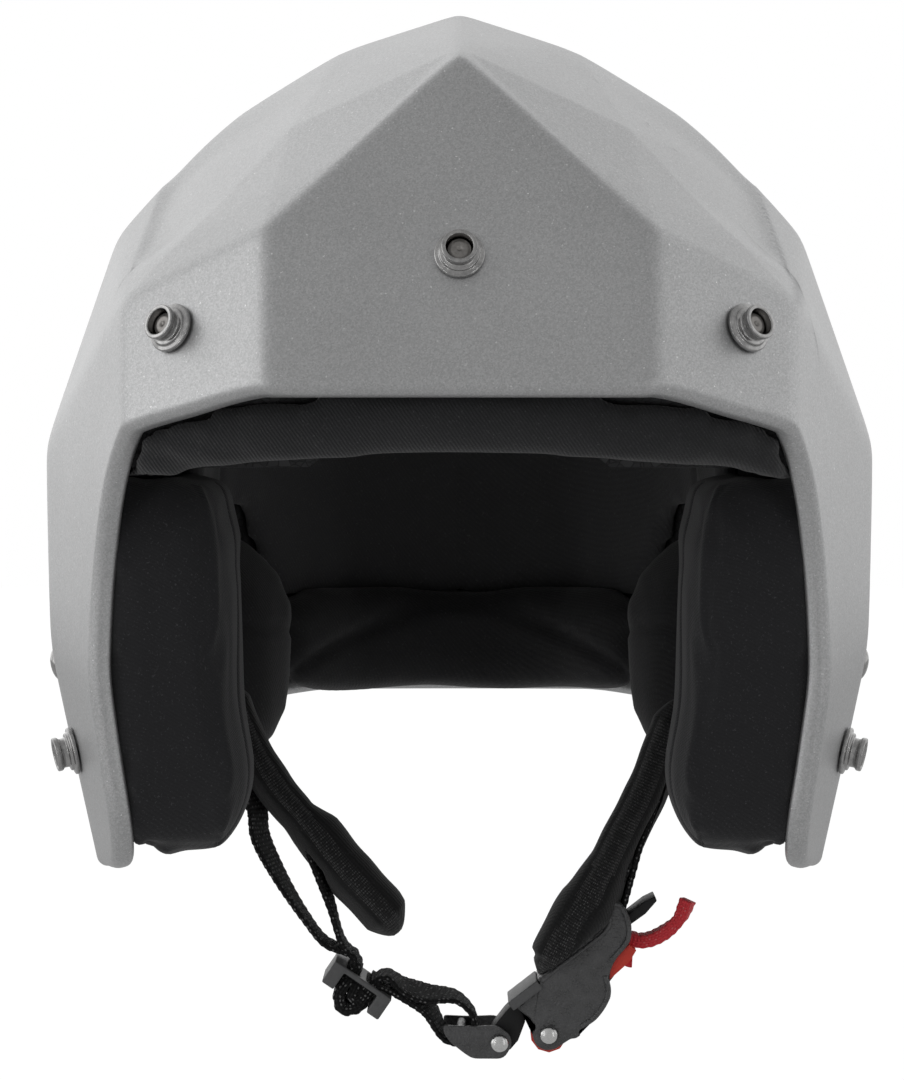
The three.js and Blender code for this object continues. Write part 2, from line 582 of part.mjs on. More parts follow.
// Buckle frame: u along the tongue, v up towards the chin
const buckle = {
  tilt: -37.6, placeShare: [0.147, 0.859], inner: 9.8, wall: 1.2, plateBottom: 2.6, plateTop: 3.8,
  plateStart: 10, plateEnd: 34.5, guideStart: -1.3, skirt: 1.1, bar: 1.3, barU: 41, barV: 6.3,
  pinU: 2.56, pinV: -11.4, pin: 1.6, pinHead: 2.7, pinDome: 1.6, mouthTop: 2.3,
};
const buckleFrame = new THREE.Matrix4().makeRotationY(THREE.MathUtils.degToRad(buckle.tilt));
buckleFrame.setPosition(...chinPlace(buckle.placeShare));
const byBuckle = (u, v) => new THREE.Vector3(u, 0, v).applyMatrix4(buckleFrame).toArray();

// Bracket on the tongue's lower end, in the buckle's frame
const bracket = {
  pinU: -10.6, pinV: -4.3, barU: -17.5, barV: 5.3, bar: 1.4, inner: 10.4, plate: 1.2, pin: 1.6, pinHead: 2.7,
};

// Left webbing: one strap from the slider up round the left tab's bar and back, then a loop to the bracket
const innerLegShares = [
  [-0.763, 0.029], [-0.664, 0.025], [-0.581, 0.083], [-0.506, 0.2], [-0.44, 0.3125], [-0.382, 0.415],
  [-0.353, 0.508], [-0.321, 0.609], [-0.293, 0.7],
];
const outerLegShares = [
  [-0.73, 0.158], [-0.622, 0.217], [-0.543, 0.283], [-0.508, 0.36], [-0.5, 0.429], [-0.457, 0.5225],
  [-0.386, 0.6375], [-0.335, 0.7],
];
const legSpread = strap.webbingThick;
const slotMiddle = (slider.endThick + slider.barStart) / 2;
const farSlotMiddle = (slider.barEnd + slider.slotEnd) / 2;
const legs = ribbon([
  bySlider(slotMiddle + legSpread / 2, -slider.plate - legSpread),
  bySlider(slotMiddle + legSpread / 2, legSpread),
  ...innerLegShares.map(chinPlace).reverse(),
  ...tabLoop.map(leftOf),
  ...outerLegShares.map(chinPlace),
  bySlider(slotMiddle - legSpread, 2 * legSpread),
  bySlider(slotMiddle - legSpread / 2, -slider.plate - legSpread),
], 84);
const fold = { drop: 11.2, side: 8.2, thick: 3.4 };
const foldPath = [
  bySlider(slotMiddle, slider.plate), bySlider(slotMiddle, -slider.plate - legSpread),
  bySlider(slotMiddle + gap, -fold.side), bySlider((slotMiddle + farSlotMiddle) / 2, -fold.drop),
  bySlider(farSlotMiddle - gap, -fold.side), bySlider(farSlotMiddle, -slider.plate - legSpread),
  bySlider(farSlotMiddle, slider.plate),
];
const threaded = ribbon(foldPath, 16, { thick: fold.thick });
const barToSlider = (share, lift) => {
  const from = new THREE.Vector3(...byBuckle(bracket.barU, bracket.barV + lift));
  return from.lerp(new THREE.Vector3(...bySlider(farSlotMiddle, slider.plate)), 1 - share).toArray();
};
const loop = { top: 7.6, right: 4.4, bottom: 4.3, left: 5.2, rise: 3.2 };
const onward = ribbon([
  bySlider(farSlotMiddle - legSpread / 2, 0),
  bySlider(farSlotMiddle + legSpread, 2.4 * legSpread),
  barToSlider(0.42, loop.top + loop.rise),
  barToSlider(0.78, loop.top + loop.rise),
  byBuckle(bracket.barU + loop.right, bracket.barV + loop.top),
  byBuckle(bracket.barU + loop.right + gap, bracket.barV - gap),
  byBuckle(bracket.barU - gap, bracket.barV - loop.bottom),
  byBuckle(bracket.barU - loop.left, bracket.barV + gap),
  barToSlider(0.58, gap),
  bySlider(slider.length + gap, 0.9 * legSpread),
  bySlider(farSlotMiddle + legSpread / 2, 0),
], 36);
const leftWebbing = inStrap(join(legs, threaded, onward));

// Padded sleeves, swept along the straps, with the webbing's way cut out
const sleeve = {
  half: 15, thick: 4.2, power: 2.6, twist: 9, steps: 20, sides: 12, room: 0.6, endShare: 0.09, blunt: 0.01,
};
const leftSleeveShares = [
  [-0.568, 0.048], [-0.5, 0.207], [-0.4355, 0.314], [-0.364, 0.401], [-0.278, 0.516], [-0.199, 0.609],
  [-0.163, 0.667],
];
const sleeveEnd = (share, reach) =>
  Math.sqrt(Math.min(1, (Math.min(share, 1 - share) + sleeve.blunt) / reach));
const leftSleeve = sweep(leftSleeveShares.map(chinPlace), sleeve.steps, sleeve.sides, (share) => ({
  half: sleeve.half * sleeveEnd(share, sleeve.endShare),
  thick: sleeve.thick * sleeveEnd(share, sleeve.endShare),
  power: sleeve.power,
  turn: -THREE.MathUtils.degToRad(sleeve.twist),
}));
const innerLegPoints = innerLegShares.map(chinPlace);
const legRoom = ribbon(innerLegPoints, 30, {
  wide: strap.webbingWidth + 2 * sleeve.room, thick: strap.webbingThick + 2 * sleeve.room,
});
add("left_sleeve", inStrap(leftSleeve.subtract(legRoom)), mesh3d);

// Right webbing: sewn round the tab's bar, then down to a loop round the buckle's bar
const rightWebShares = [
  [0.73, 0.05], [0.647, 0.054], [0.585, 0.1], [0.5516, 0.171], [0.498, 0.321], [0.45, 0.458], [0.43, 0.53],
];
const barLoop = { radius: 2.7, neck: 5.5, end: 0.44, lap: 2.1 };
const rightEnd = byBuckle(buckle.barU + barLoop.neck / 2, buckle.barV + barLoop.neck);
const round = (degrees) => {
  const angle = THREE.MathUtils.degToRad(degrees);
  return byBuckle(
    buckle.barU + barLoop.radius * Math.cos(angle),
    buckle.barV + barLoop.radius * Math.sin(angle),
  );
};
const rightRun = rightWebShares.map(chinPlace);
const tuckedShares = [[0.4155, 0.521], [0.4295, 0.46]];
const barAngles = [-40, -80, -120, -160, -200, -240];
const rightPath = [
  besideTab(tabInside + around.lead, -barMiddle + gap),
  ...[...tabLoop].reverse(),
  ...rightRun,
  ...barAngles.map(round),
  ...tuckedShares.map(chinPlace),
];
const rightWebbing = inStrap(ribbon(rightPath, 84));

const chinPad = {
  half: 18, thick: 7.2, upperHalf: 15, upperThick: 4.6, twist: 10, steps: 22, sides: 12,
  endShare: 0.12, swellShare: [0.5, 0.75],
};
const rightSleeveShares = [
  [0.564, 0.0875], [0.5326, 0.167], [0.477, 0.3175], [0.407, 0.469], [0.352, 0.57], [0.3, 0.66], [0.238, 0.745],
];
const swell = (share, low, high) => between(low, high, THREE.MathUtils.smoothstep(share, ...chinPad.swellShare));
const rightSleeve = sweep(rightSleeveShares.map(chinPlace), chinPad.steps, chinPad.sides, (share) => ({
  half: swell(share, chinPad.upperHalf, chinPad.half) * sleeveEnd(share, sleeve.endShare),
  thick: swell(share, chinPad.upperThick, chinPad.thick) * sleeveEnd(share, chinPad.endShare),
  power: sleeve.power,
  turn: THREE.MathUtils.degToRad(chinPad.twist),
}));
const rightRoom = ribbon([...rightWebShares.map(chinPlace), rightEnd], 30, {
  wide: strap.webbingWidth + 2 * sleeve.room, thick: strap.webbingThick + 2 * sleeve.room,
});
const buckleRoom = box(
  [buckle.guideStart - gap, -buckle.inner - buckle.wall - buckle.skirt - 2 * gap, buckle.pinV],
  [buckle.barU + overrun, buckle.inner + buckle.wall + buckle.skirt + 2 * gap, buckle.plateTop + gap],
).transform(buckleFrame.elements);
const lugRoom = box(
  [buckle.plateEnd - gap, -buckle.inner - buckle.wall - gap, 0],
  [buckle.barU + barLoop.neck, buckle.inner + buckle.wall + gap, buckle.barV + barLoop.neck],
).transform(buckleFrame.elements);
const rightSleeveBody = inStrap(rightSleeve.subtract(rightRoom).subtract(buckleRoom).subtract(lugRoom));

// Anchor hardware on both sides
const rightAnchor = {
  rivet: solid(seated(anchorRivet, anchorSpot)),
  spacer: solid(seated(anchorSpacer, anchorSpot)),
  tab: solid(tabPlate),
};
for (const [side, place] of [["left", mirrored], ["right", (body) => body]]) {
  add(`anchor_rivet_${side}`, place(rightAnchor.rivet), steel);
  add(`anchor_spacer_${side}`, place(rightAnchor.spacer), steel);
  add(`anchor_tab_${side}`, place(rightAnchor.tab), steel);
}

// Ladder slider: a plate with two slots and a thick end at each side of them
const sliderBlock = (start, end, half, low, high) => box([start, -half, low], [end, half, high]);
const sliderBody = join(
  sliderBlock(0, slider.length, slider.half, -slider.plate, 0),
  sliderBlock(0, slider.endThick, slider.half, -slider.endDrop, 0),
  sliderBlock(slider.slotEnd, slider.length, slider.half, -slider.endDrop, 0),
).subtract(sliderBlock(slider.endThick, slider.barStart, slider.slotHalf, -overrun, overrun))
  .subtract(sliderBlock(slider.barEnd, slider.slotEnd, slider.slotHalf, -overrun, overrun));
const sliderPlaced = inStrap(sliderBody.transform(sliderFrame.elements));
add("strap_slider", sliderPlaced, polymer);

// Outlines in the buckle's frame are shares of its reach
const buckleReach = 50;
const pinSides = 10;
const outlineOf = (shares) => shares.map(([u, v]) => [u * buckleReach, v * buckleReach]);
const inBuckle = (body) => inStrap(body.transform(buckleFrame.elements));
const slab = (shares, low, high) => solid(acrossDepth(outlineOf(shares), low, high));
const rod = (u, v, radius, half) => solid(barAlongDepth(u, v, radius, -half, half, pinSides));
const domedPin = (u, v, { pin, pinHead, pinDome }, half) => {
  const geometry = lathe([
    [0, -half - pinDome], [pinHead / Math.SQRT2, -half - pinDome / Math.SQRT2], [pinHead, -half],
    [pin, -half], [pin, half], [pinHead, half],
    [pinHead / Math.SQRT2, half + pinDome / Math.SQRT2], [0, half + pinDome],
  ], pinSides);
  geometry.rotateX(Math.PI / 2);
  geometry.translate(u, 0, v);
  return solid(geometry);
};

// Tongue bracket: two cheeks joined by the bar that the left webbing goes round
const bracketShares = [
  [-0.414, 0.206], [-0.288, 0.1], [-0.152, 0.004], [-0.13, -0.09], [-0.162, -0.142], [-0.246, -0.178],
  [-0.398, -0.06], [-0.42, 0.01], [-0.442, 0.102], [-0.44, 0.164],
];
const bracketOuter = bracket.inner + bracket.plate;
const tongueHole = rod(bracket.pinU, bracket.pinV, bracket.pin + gap, overrun);
const bracketBody = join(
  slab(bracketShares, -bracketOuter, -bracket.inner),
  slab(bracketShares, bracket.inner, bracketOuter),
  rod(bracket.barU, bracket.barV, bracket.bar, bracketOuter),
).subtract(tongueHole);
add("tongue_bracket", inBuckle(bracketBody), coated);
add("tongue_rivet", inBuckle(domedPin(bracket.pinU, bracket.pinV, { ...buckle, ...bracket }, bracketOuter + gap)), steel);

// Toothed tongue: a flat bar with ratchet teeth below and a hooked end that takes the rivet
const tongue = { half: 7.5, root: 0.2, tip: -0.6, pitch: 2.5, firstTooth: 39, teeth: 15 };
const tongueTopShares = [
  [0.03, -0.012], [0.01, -0.054], [-0.02, -0.09], [-0.12, -0.152], [-0.19, -0.166], [-0.26, -0.144],
  [-0.29, -0.092], [-0.272, -0.038], [-0.19, 0.002], [-0.08, 0.03], [0.01, 0.044], [0.88, 0.044],
  [0.99, 0.046], [1.06, 0.032], [1.052, 0.004], [0.95, -0.016], [0.84, -0.012], [0.84, 0.004],
];
const tonguePoints = outlineOf(tongueTopShares);
for (let i = 0; i < tongue.teeth; i += 1) {
  const place = tongue.firstTooth - i * tongue.pitch;
  tonguePoints.push([place, tongue.root], [place, tongue.tip]);
}
const tongueBody = solid(acrossDepth(tonguePoints, -tongue.half, tongue.half)).subtract(tongueHole);
add("tongue", inBuckle(tongueBody), coated);

// Buckle body: two side walls, the plate between them and the bar that the right webbing goes round
const wallShares = [
  [-0.004, 0.046], [0.198, 0.046], [0.198, 0.076], [0.7, 0.076], [0.76, 0.164], [0.82, 0.178],
  [0.878, 0.152], [0.872, 0.052], [0.85, -0.004], [0.792, -0.08], [0.624, -0.122], [0.548, -0.17],
  [0.518, -0.238], [0.476, -0.284], [0.34, -0.33], [0.21, -0.324], [0.2, -0.348], [0.164, -0.344],
  [0.142, -0.328], [0.09, -0.324], [0.02, -0.32], [-0.032, -0.28], [-0.048, -0.228], [-0.024, -0.16],
  [0.018, -0.144], [0.024, -0.086], [0, 0],
];
const buckleOuter = buckle.inner + buckle.wall;
const leverHole = rod(buckle.pinU, buckle.pinV, buckle.pin + gap, overrun);
const buckleBody = join(
  slab(wallShares, -buckleOuter, -buckle.inner),
  slab(wallShares, buckle.inner, buckleOuter),
  box([buckle.plateStart, -buckleOuter, buckle.plateBottom], [buckle.plateEnd, buckleOuter, buckle.plateTop]),
  rod(buckle.barU, buckle.barV, buckle.bar, buckleOuter),
).subtract(leverHole);
add("buckle_body", inBuckle(buckleBody), coated);

// Guide: a cap over the buckle's mouth that keeps the tongue in line
const guideHalf = buckleOuter + gap + buckle.skirt;
const guideBody = box(
  [buckle.guideStart, -guideHalf, 0], [buckle.plateStart - gap, guideHalf, buckle.plateTop],
).subtract(box(
  [buckle.guideStart - overrun, -buckleOuter - gap, -overrun], [overrun, buckleOuter + gap, buckle.plateBottom],
));
add("buckle_guide", inBuckle(guideBody), polymer);
add("lever_pin", inBuckle(domedPin(buckle.pinU, buckle.pinV, buckle, buckleOuter + gap)), steel);

// Torsion spring round the lever's pin
const spring = { radius: 3.4, wire: 0.4, start: 4.6, end: 8.6, turns: 3, stepsPerTurn: 10, sides: 5 };
const springSteps = spring.turns * spring.stepsPerTurn;
const springPath = Array.from({ length: springSteps + 1 }, (_, i) => {
  const angle = (i / spring.stepsPerTurn) * 2 * Math.PI;
  return [
    buckle.pinU + spring.radius * Math.cos(angle),
    between(spring.start, spring.end, i / springSteps),
    buckle.pinV + spring.radius * Math.sin(angle),
  ];
});
const springBody = sweep(springPath, springSteps, spring.sides, () => ({ half: spring.wire, thick: spring.wire }));
add("lever_spring", inBuckle(springBody), steel);

// Release lever: a pawl and a finger grip on one eye, with a slot for the pull tab
const lever = { half: 9.4, eye: 5.5, room: 5.6, roomStart: 4.1, slotStart: 33.2, slotEnd: 35.4, slotHalf: 5.3 };
const leverShares = [
  [0.13, -0.164], [0.28, -0.13], [0.31, -0.024], [0.35, -0.024], [0.36, -0.13], [0.54, -0.124],
  [0.76, -0.098], [0.772, -0.152], [0.7, -0.18], [0.54, -0.192], [0.44, -0.252], [0.28, -0.304],
  [0.14, -0.324],
];
const springRoom = solid(barAlongDepth(
  buckle.pinU, buckle.pinV, lever.room, lever.roomStart, lever.half + gap, roundSides,
));
const leverBody = join(
  slab(leverShares, -lever.half, lever.half),
  rod(buckle.pinU, buckle.pinV, lever.eye, lever.half),
).subtract(leverHole).subtract(springRoom)
  .subtract(box([lever.slotStart, -lever.slotHalf, -overrun], [lever.slotEnd, lever.slotHalf, overrun]));
add("release_lever", inBuckle(leverBody), red);

// Pull tab: a ribbon looped through the lever's slot, its short end lying along the tail
const pull = { width: 9, thick: 1.4, steps: 30 };
const pullShares = [
  [1.2, -0.124], [1.096, -0.18], [0.996, -0.192], [0.878, -0.172], [0.812, -0.132], [0.784, -0.092],
  [0.74, -0.076], [0.696, -0.08], [0.686, -0.13], [0.688, -0.192], [0.716, -0.224], [0.78, -0.218],
  [0.874, -0.216], [0.95, -0.234],
];
const pullPath = pullShares.map(([u, v]) => [u * buckleReach, 0, v * buckleReach]);
const pullBody = ribbon(pullPath, pull.steps, { wide: pull.width, thick: pull.thick });
add("pull_tab", inBuckle(pullBody), red);

// Webbing and the right sleeve, cleared of the hardware and the webbing that they pass
const nearby = [[1, 0, 0], [-1, 0, 0], [0, 1, 0], [0, -1, 0], [0, 0, 1], [0, 0, -1]];
const roomOf = (body) => join(body, ...nearby.map((way) => body.translate(way.map((value) => value * gap))));
const leftWebbingClear = leftWebbing.subtract(roomOf(sliderPlaced));
add("left_webbing", leftWebbingClear, webbing);
add("right_webbing", rightWebbing, webbing);
const largest = (body) => body.decompose().sort((a, b) => b.volume() - a.volume())[0];
add("right_sleeve", largest(rightSleeveBody.subtract(roomOf(rightWebbing))), mesh3d);

export default helmet;
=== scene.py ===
import math

import bmesh
import bpy
import numpy as np
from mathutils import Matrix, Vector
from mathutils.bvhtree import BVHTree


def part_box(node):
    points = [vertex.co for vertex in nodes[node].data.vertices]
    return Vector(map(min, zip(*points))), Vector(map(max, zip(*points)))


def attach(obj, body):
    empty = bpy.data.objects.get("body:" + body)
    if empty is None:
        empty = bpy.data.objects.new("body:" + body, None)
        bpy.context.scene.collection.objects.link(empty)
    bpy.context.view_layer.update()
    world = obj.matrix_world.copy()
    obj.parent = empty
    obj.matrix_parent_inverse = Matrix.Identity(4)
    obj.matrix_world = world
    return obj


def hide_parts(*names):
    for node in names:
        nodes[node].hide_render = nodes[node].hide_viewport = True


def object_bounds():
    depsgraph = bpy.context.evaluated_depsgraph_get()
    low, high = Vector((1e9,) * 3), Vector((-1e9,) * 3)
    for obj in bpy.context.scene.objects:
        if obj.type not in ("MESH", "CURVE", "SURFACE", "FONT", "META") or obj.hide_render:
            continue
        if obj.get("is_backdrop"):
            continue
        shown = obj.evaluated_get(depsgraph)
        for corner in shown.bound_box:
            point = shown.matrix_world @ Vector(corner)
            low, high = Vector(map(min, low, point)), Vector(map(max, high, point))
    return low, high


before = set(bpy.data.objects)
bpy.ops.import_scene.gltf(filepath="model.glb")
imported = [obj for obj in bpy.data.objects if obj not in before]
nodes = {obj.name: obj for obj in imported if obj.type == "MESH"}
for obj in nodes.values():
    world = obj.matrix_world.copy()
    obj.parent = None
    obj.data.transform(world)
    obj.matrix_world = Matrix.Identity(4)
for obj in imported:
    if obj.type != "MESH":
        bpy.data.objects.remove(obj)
cad_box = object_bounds()
MM = 0.001

# Studio
# A pale floor well below the helmet, white behind it, and broad soft lights.
# The camera stands a little over a metre in front, level with the eyes.
scene = bpy.context.scene
scene.view_settings.view_transform = "Standard"
photo_width, photo_height = 904, 1080
principal_x, principal_y, focal_pixels = 459.5, 485.0, 3833.0
camera_distance, camera_height = 1.150, 0.035


def linked(name, data):
    """An object for a mesh, a camera or a lamp, put into the scene."""
    made = bpy.data.objects.new(name, data)
    scene.collection.objects.link(made)
    return made


lens = bpy.data.cameras.new("camera")
lens.sensor_fit = "VERTICAL"
lens.sensor_height = 24.0
lens.lens = focal_pixels / photo_height * lens.sensor_height
lens.shift_x = -(principal_x - photo_width / 2) / photo_height
lens.shift_y = -(photo_height / 2 - principal_y) / photo_height
lens.clip_start, lens.clip_end = 0.05, 60.0
camera = linked("camera", lens)
camera.location = (0, -camera_distance, camera_height)
camera.rotation_euler = (math.pi / 2, 0, 0)
scene.camera = camera


def new_material(name):
    """An empty node material; returns the material and its tree."""
    made = bpy.data.materials.new(name)
    made.use_nodes = True
    made.node_tree.nodes.clear()
    return made, made.node_tree


def node(tree, kind, inputs=None, **settings):
    """A node with its settings, and its inputs by name or number: plain values or other nodes' outputs."""
    made = tree.nodes.new(kind)
    for key, value in settings.items():
        setattr(made, key, value)
    for key, value in (inputs or {}).items():
        if isinstance(value, bpy.types.NodeSocket):
            tree.links.new(value, made.inputs[key])
        else:
            made.inputs[key].default_value = value
    return made


def maths(tree, operation, *values):
    """The result of a Math node on plain values and other nodes' outputs."""
    return node(tree, "ShaderNodeMath", dict(enumerate(values)), operation=operation).outputs[0]


def to_range(tree, value, low, high, to_low=0.0, to_high=1.0, **settings):
    """A value's range from low to high, carried over to another range."""
    inputs = {"Value": value, "From Min": low, "From Max": high, "To Min": to_low, "To Max": to_high}
    return node(tree, "ShaderNodeMapRange", inputs, **settings).outputs["Result"]


def backdrop_share(tree):
    """How far a ray shows the plain white: fully to the camera and through glass, and a little in gloss."""
    seen, glossy_share = node(tree, "ShaderNodeLightPath").outputs, 0.25
    either = maths(tree, "MAXIMUM", seen["Is Camera Ray"], seen["Is Transmission Ray"])
    return maths(tree, "MULTIPLY_ADD", seen["Is Glossy Ray"], glossy_share, either)


white, floor_grey = (1, 1, 1, 1), (0.50, 0.50, 0.50, 1)
floor_glow, floor_glow_share = 1.10, 0.90
floor_material, tree = new_material("studio_floor")
plain = node(tree, "ShaderNodeBsdfDiffuse", {"Color": floor_grey})
glow = node(tree, "ShaderNodeEmission", {"Color": white, "Strength": floor_glow})
share = maths(tree, "MULTIPLY", backdrop_share(tree), floor_glow_share)
mixed = node(tree, "ShaderNodeMixShader", {0: share, 1: plain.outputs[0], 2: glow.outputs[0]})
node(tree, "ShaderNodeOutputMaterial", {"Surface": mixed.outputs[0]})

floor_half, floor_z = 12.0, -0.32
floor_mesh = bpy.data.meshes.new("floor")
floor_mesh.from_pydata(
    [(x * floor_half, y * floor_half, floor_z) for x, y in ((-1, -1), (1, -1), (1, 1), (-1, 1))], [], [(0, 1, 2, 3)])
floor_mesh.materials.append(floor_material)
floor = linked("floor", floor_mesh)
floor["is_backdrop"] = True

# The room's light is dim in front, bright behind, weaker straight overhead and a little stronger from the left
front_strength, rear_strength, overhead_share, left_more = 0.27, 1.10, 0.30, 0.17
world = bpy.data.worlds.new("studio")
scene.world = world
world.use_nodes = True
tree = world.node_tree
tree.nodes.clear()
towards = node(tree, "ShaderNodeSeparateXYZ", {0: node(tree, "ShaderNodeTexCoord").outputs["Generated"]}).outputs
behind = to_range(tree, towards["Y"], -1.1, 0.9, front_strength, rear_strength, interpolation_type="SMOOTHSTEP")
wave = maths(tree, "SINE", maths(tree, "MULTIPLY", towards["X"], math.pi))
uneven = maths(tree, "MULTIPLY_ADD", wave, -left_more, 1.0)
overhead = to_range(tree, towards["Z"], 0.60, 0.98, 1.0, overhead_share, interpolation_type="SMOOTHSTEP")
strength = maths(tree, "MULTIPLY", maths(tree, "MULTIPLY", behind, uneven), overhead)
room = node(tree, "ShaderNodeBackground", {"Color": white, "Strength": strength})
sky = node(tree, "ShaderNodeBackground", {"Color": white, "Strength": 1.0})
mixed = node(tree, "ShaderNodeMixShader", {0: backdrop_share(tree), 1: room.outputs[0], 2: sky.outputs[0]})
node(tree, "ShaderNodeOutputWorld", {"Surface": mixed.outputs[0]})

lamp_target = Vector((0, 0, 0.04))
for name, place, size, watts in (
        ("left_panel", (-1.7, -0.5, 0.55), (1.4, 1.5), 4.8),
        ("right_panel", (1.7, -0.1, 0.45), (1.4, 1.6), 0.9),
        ("top_panel", (0.1, 0.2, 1.8), (1.8, 1.6), 0.45),
        ("left_strip", (-0.75, -1.05, 0.0), (0.04, 0.8), 0.6),
        ("right_strip", (0.75, -1.05, 0.0), (0.04, 0.8), 0.5)):
    light = bpy.data.lights.new(name, "AREA")
    light.shape = "RECTANGLE"
    light.size, light.size_y = size
    light.energy = watts
    lamp = linked(name, light)
    lamp.location = place
    lamp.rotation_euler = (lamp_target - Vector(place)).to_track_quat("-Z", "Y").to_euler()

# Outer shell
# One moulding of fibre composite with flat facets and softly rounded creases, lacquered silver.
# Its edge turns in to a broad rounded lip round the face, cheeks and neck.
shell_part = nodes["outer_shell"]
shell_vertices = np.array([v.co for v in shell_part.data.vertices], float)
smallest_facet, same_reach, same_way = 2e-6, 2e-5, 2e-3
facet_planes = []
for polygon in shell_part.data.polygons:
    normal = np.array(polygon.normal, float)
    edge_face = normal[2] < -0.9 or (abs(normal[0]) < 0.01 and normal[2] < -0.2)
    if polygon.area < smallest_facet or edge_face:
        continue
    reach = float(normal @ np.array(polygon.center))
    if (shell_vertices @ normal).max() > reach + same_reach:
        continue
    if not any(abs(reach - r) < same_reach and np.abs(normal - m).max() < same_way for m, r in facet_planes):
        facet_planes.append((normal, reach))
shell_centre = np.array([0.0, 0.012, 0.020])
facet_normals = np.array([m for m, _ in facet_planes])
facet_reach = np.array([r - m @ shell_centre for m, r in facet_planes])
crease_power = 210.0
# Above each temple the facet is pressed in behind a sharp crease that runs down to the brow band
crease_top, crease_foot, dish_front = (
    np.array(p) * MM for p in ((88.5, 12.1, 127.7), (94.5, -71.3, 87.2), (54.0, -96.6, 105.2)))
crease_length = np.linalg.norm(crease_foot - crease_top)
crease_run = (crease_foot - crease_top) / crease_length
dish_way = np.cross(crease_run, dish_front - crease_top)
dish_across = np.cross(dish_way, crease_run)
dish_across /= np.linalg.norm(dish_across) * np.sign(dish_across @ (dish_front - crease_top))
dish_depth, dish_fall, dish_rise = 4.0 * MM, 5.0 * MM, 22.0 * MM
top_fade, foot_fade, foot_margin = 24.0 * MM, 26.0 * MM, 11.0 * MM
# Beside the brow's creases a low ridge splits the upper facet; its corners are places in the camera's picture
ridge_corners = {
    "peak": (448, 53), "brow": (263, 229.6), "top": (297, 139), "crown": (341.5, 52.4), "upper": (239, 113.5),
    "temple": (167.5, 179.4), "foot": (123.7, 299.6)}
ridge_faces = [
    ("peak", "top", "brow"), ("peak", "top", "crown"), ("crown", "top", "upper"), ("upper", "top", "temple"),
    ("temple", "top", "foot"), ("foot", "top", "brow")]
ridge_height, ridge_rear = 4.0 * MM, 16.5 * MM


def eased(value):
    """A soft step from 0 to 1."""
    value = np.clip(value, 0, 1)
    return value * value * (3 - 2 * value)


def unit(rows):
    """Each row brought to length one."""
    return rows / np.linalg.norm(rows, axis=1, keepdims=True)


def raised_by(points, normals):
    """How far the upper facets' low ridges stand out at these points."""
    depth = points[:, 1] + camera_distance
    across = principal_x - np.abs(points[:, 0]) / depth * focal_pixels
    down = principal_y - (points[:, 2] - camera_height) / depth * focal_pixels
    lift = np.zeros(len(points))
    for corners in ridge_faces:
        (xa, ya), (xb, yb), (xc, yc) = (ridge_corners[c] for c in corners)
        whole = (xb - xa) * (yc - ya) - (xc - xa) * (yb - ya)
        b = ((across - xa) * (yc - ya) - (xc - xa) * (down - ya)) / whole
        c = ((xb - xa) * (down - ya) - (across - xa) * (yb - ya)) / whole
        inside = (b >= 0) & (c >= 0) & (b + c <= 1)
        lift = np.where(inside, b * ridge_height, lift)
    facing = (points[:, 1] < ridge_rear) & (normals[:, 1] < 0.1)
    return np.where(facing, lift, 0)


def pressed_in(points):
    """How far the shell is pressed in at these points of its facets."""
    spots = points.copy()
    spots[:, 0] = np.abs(spots[:, 0])
    along = (spots - crease_top) @ crease_run
    off = np.clip((spots - crease_top) @ dish_across, 0, None)
    to_foot = crease_length - foot_margin + 0.25 * off - along
    within = eased(along / top_fade + 0.25) * eased(to_foot / foot_fade)
    return dish_depth * within * (1 - np.exp(-off / dish_fall)) * np.exp(-off / dish_rise)


def shell_surface(ways, inset=0.0):
    """Points on the shell's rounded facets in the given directions, and the outward normals there."""
    slope = np.maximum(ways @ facet_normals.T / (facet_reach - inset), 1e-6)
    most = slope.max(1, keepdims=True)
    ratio = (slope / most) ** crease_power
    radius = 1.0 / (most[:, 0] * ratio.sum(1) ** (1 / crease_power))
    weight = (slope / most) ** (crease_power - 1) / (facet_reach - inset)
    out_normals = unit(weight @ facet_normals)
    surface = shell_centre + ways * radius[:, None]
    if inset == 0:
        surface = surface + out_normals * (raised_by(surface, out_normals) - pressed_in(surface))[:, None]
    return surface, out_normals


# The edge as seen from the side (y, z): brow, cheek edge, bottom and rear rim
edge_side = np.array([
    (-170, 62.3), (-119.9, 60.0), (-105.9, 54.9), (-96.1, 51.0), (-88, 45.1), (-79.9, 36.0), (-74, 23.9),
    (-69, 7.9), (-65.9, -14.1), (-63.9, -39.9), (-61.1, -59.3), (-56.1, -69.4), (-47.1, -75.2), (-20.8, -77.9),
    (12, -79.5), (45, -71), (85, -52.1), (120, -37.1), (175.2, -30.9)]) * MM


def smooth_path(points, steps):
    """A centripetal curve through points, sampled evenly between each pair."""
    padded = np.vstack([2 * points[0] - points[1], points, 2 * points[-1] - points[-2]])
    made = []
    for a, b, c, d in zip(padded[:-3], padded[1:-2], padded[2:-1], padded[3:]):
        knots = np.cumsum([0.0] + [max(np.linalg.norm(q - p), 1e-9) ** 0.5 for p, q in ((a, b), (b, c), (c, d))])
        for t in np.linspace(knots[1], knots[2], steps, endpoint=False):
            a1 = ((knots[1] - t) * a + (t - knots[0]) * b) / (knots[1] - knots[0])
            a2 = ((knots[2] - t) * b + (t - knots[1]) * c) / (knots[2] - knots[1])
            a3 = ((knots[3] - t) * c + (t - knots[2]) * d) / (knots[3] - knots[2])
            b1 = ((knots[2] - t) * a1 + (t - knots[0]) * a2) / (knots[2] - knots[0])
            b2 = ((knots[3] - t) * a2 + (t - knots[1]) * a3) / (knots[3] - knots[1])
            made.append(((knots[2] - t) * b1 + (t - knots[1]) * b2) / (knots[2] - knots[1]))
    made.append(points[-1])
    return np.array(made)


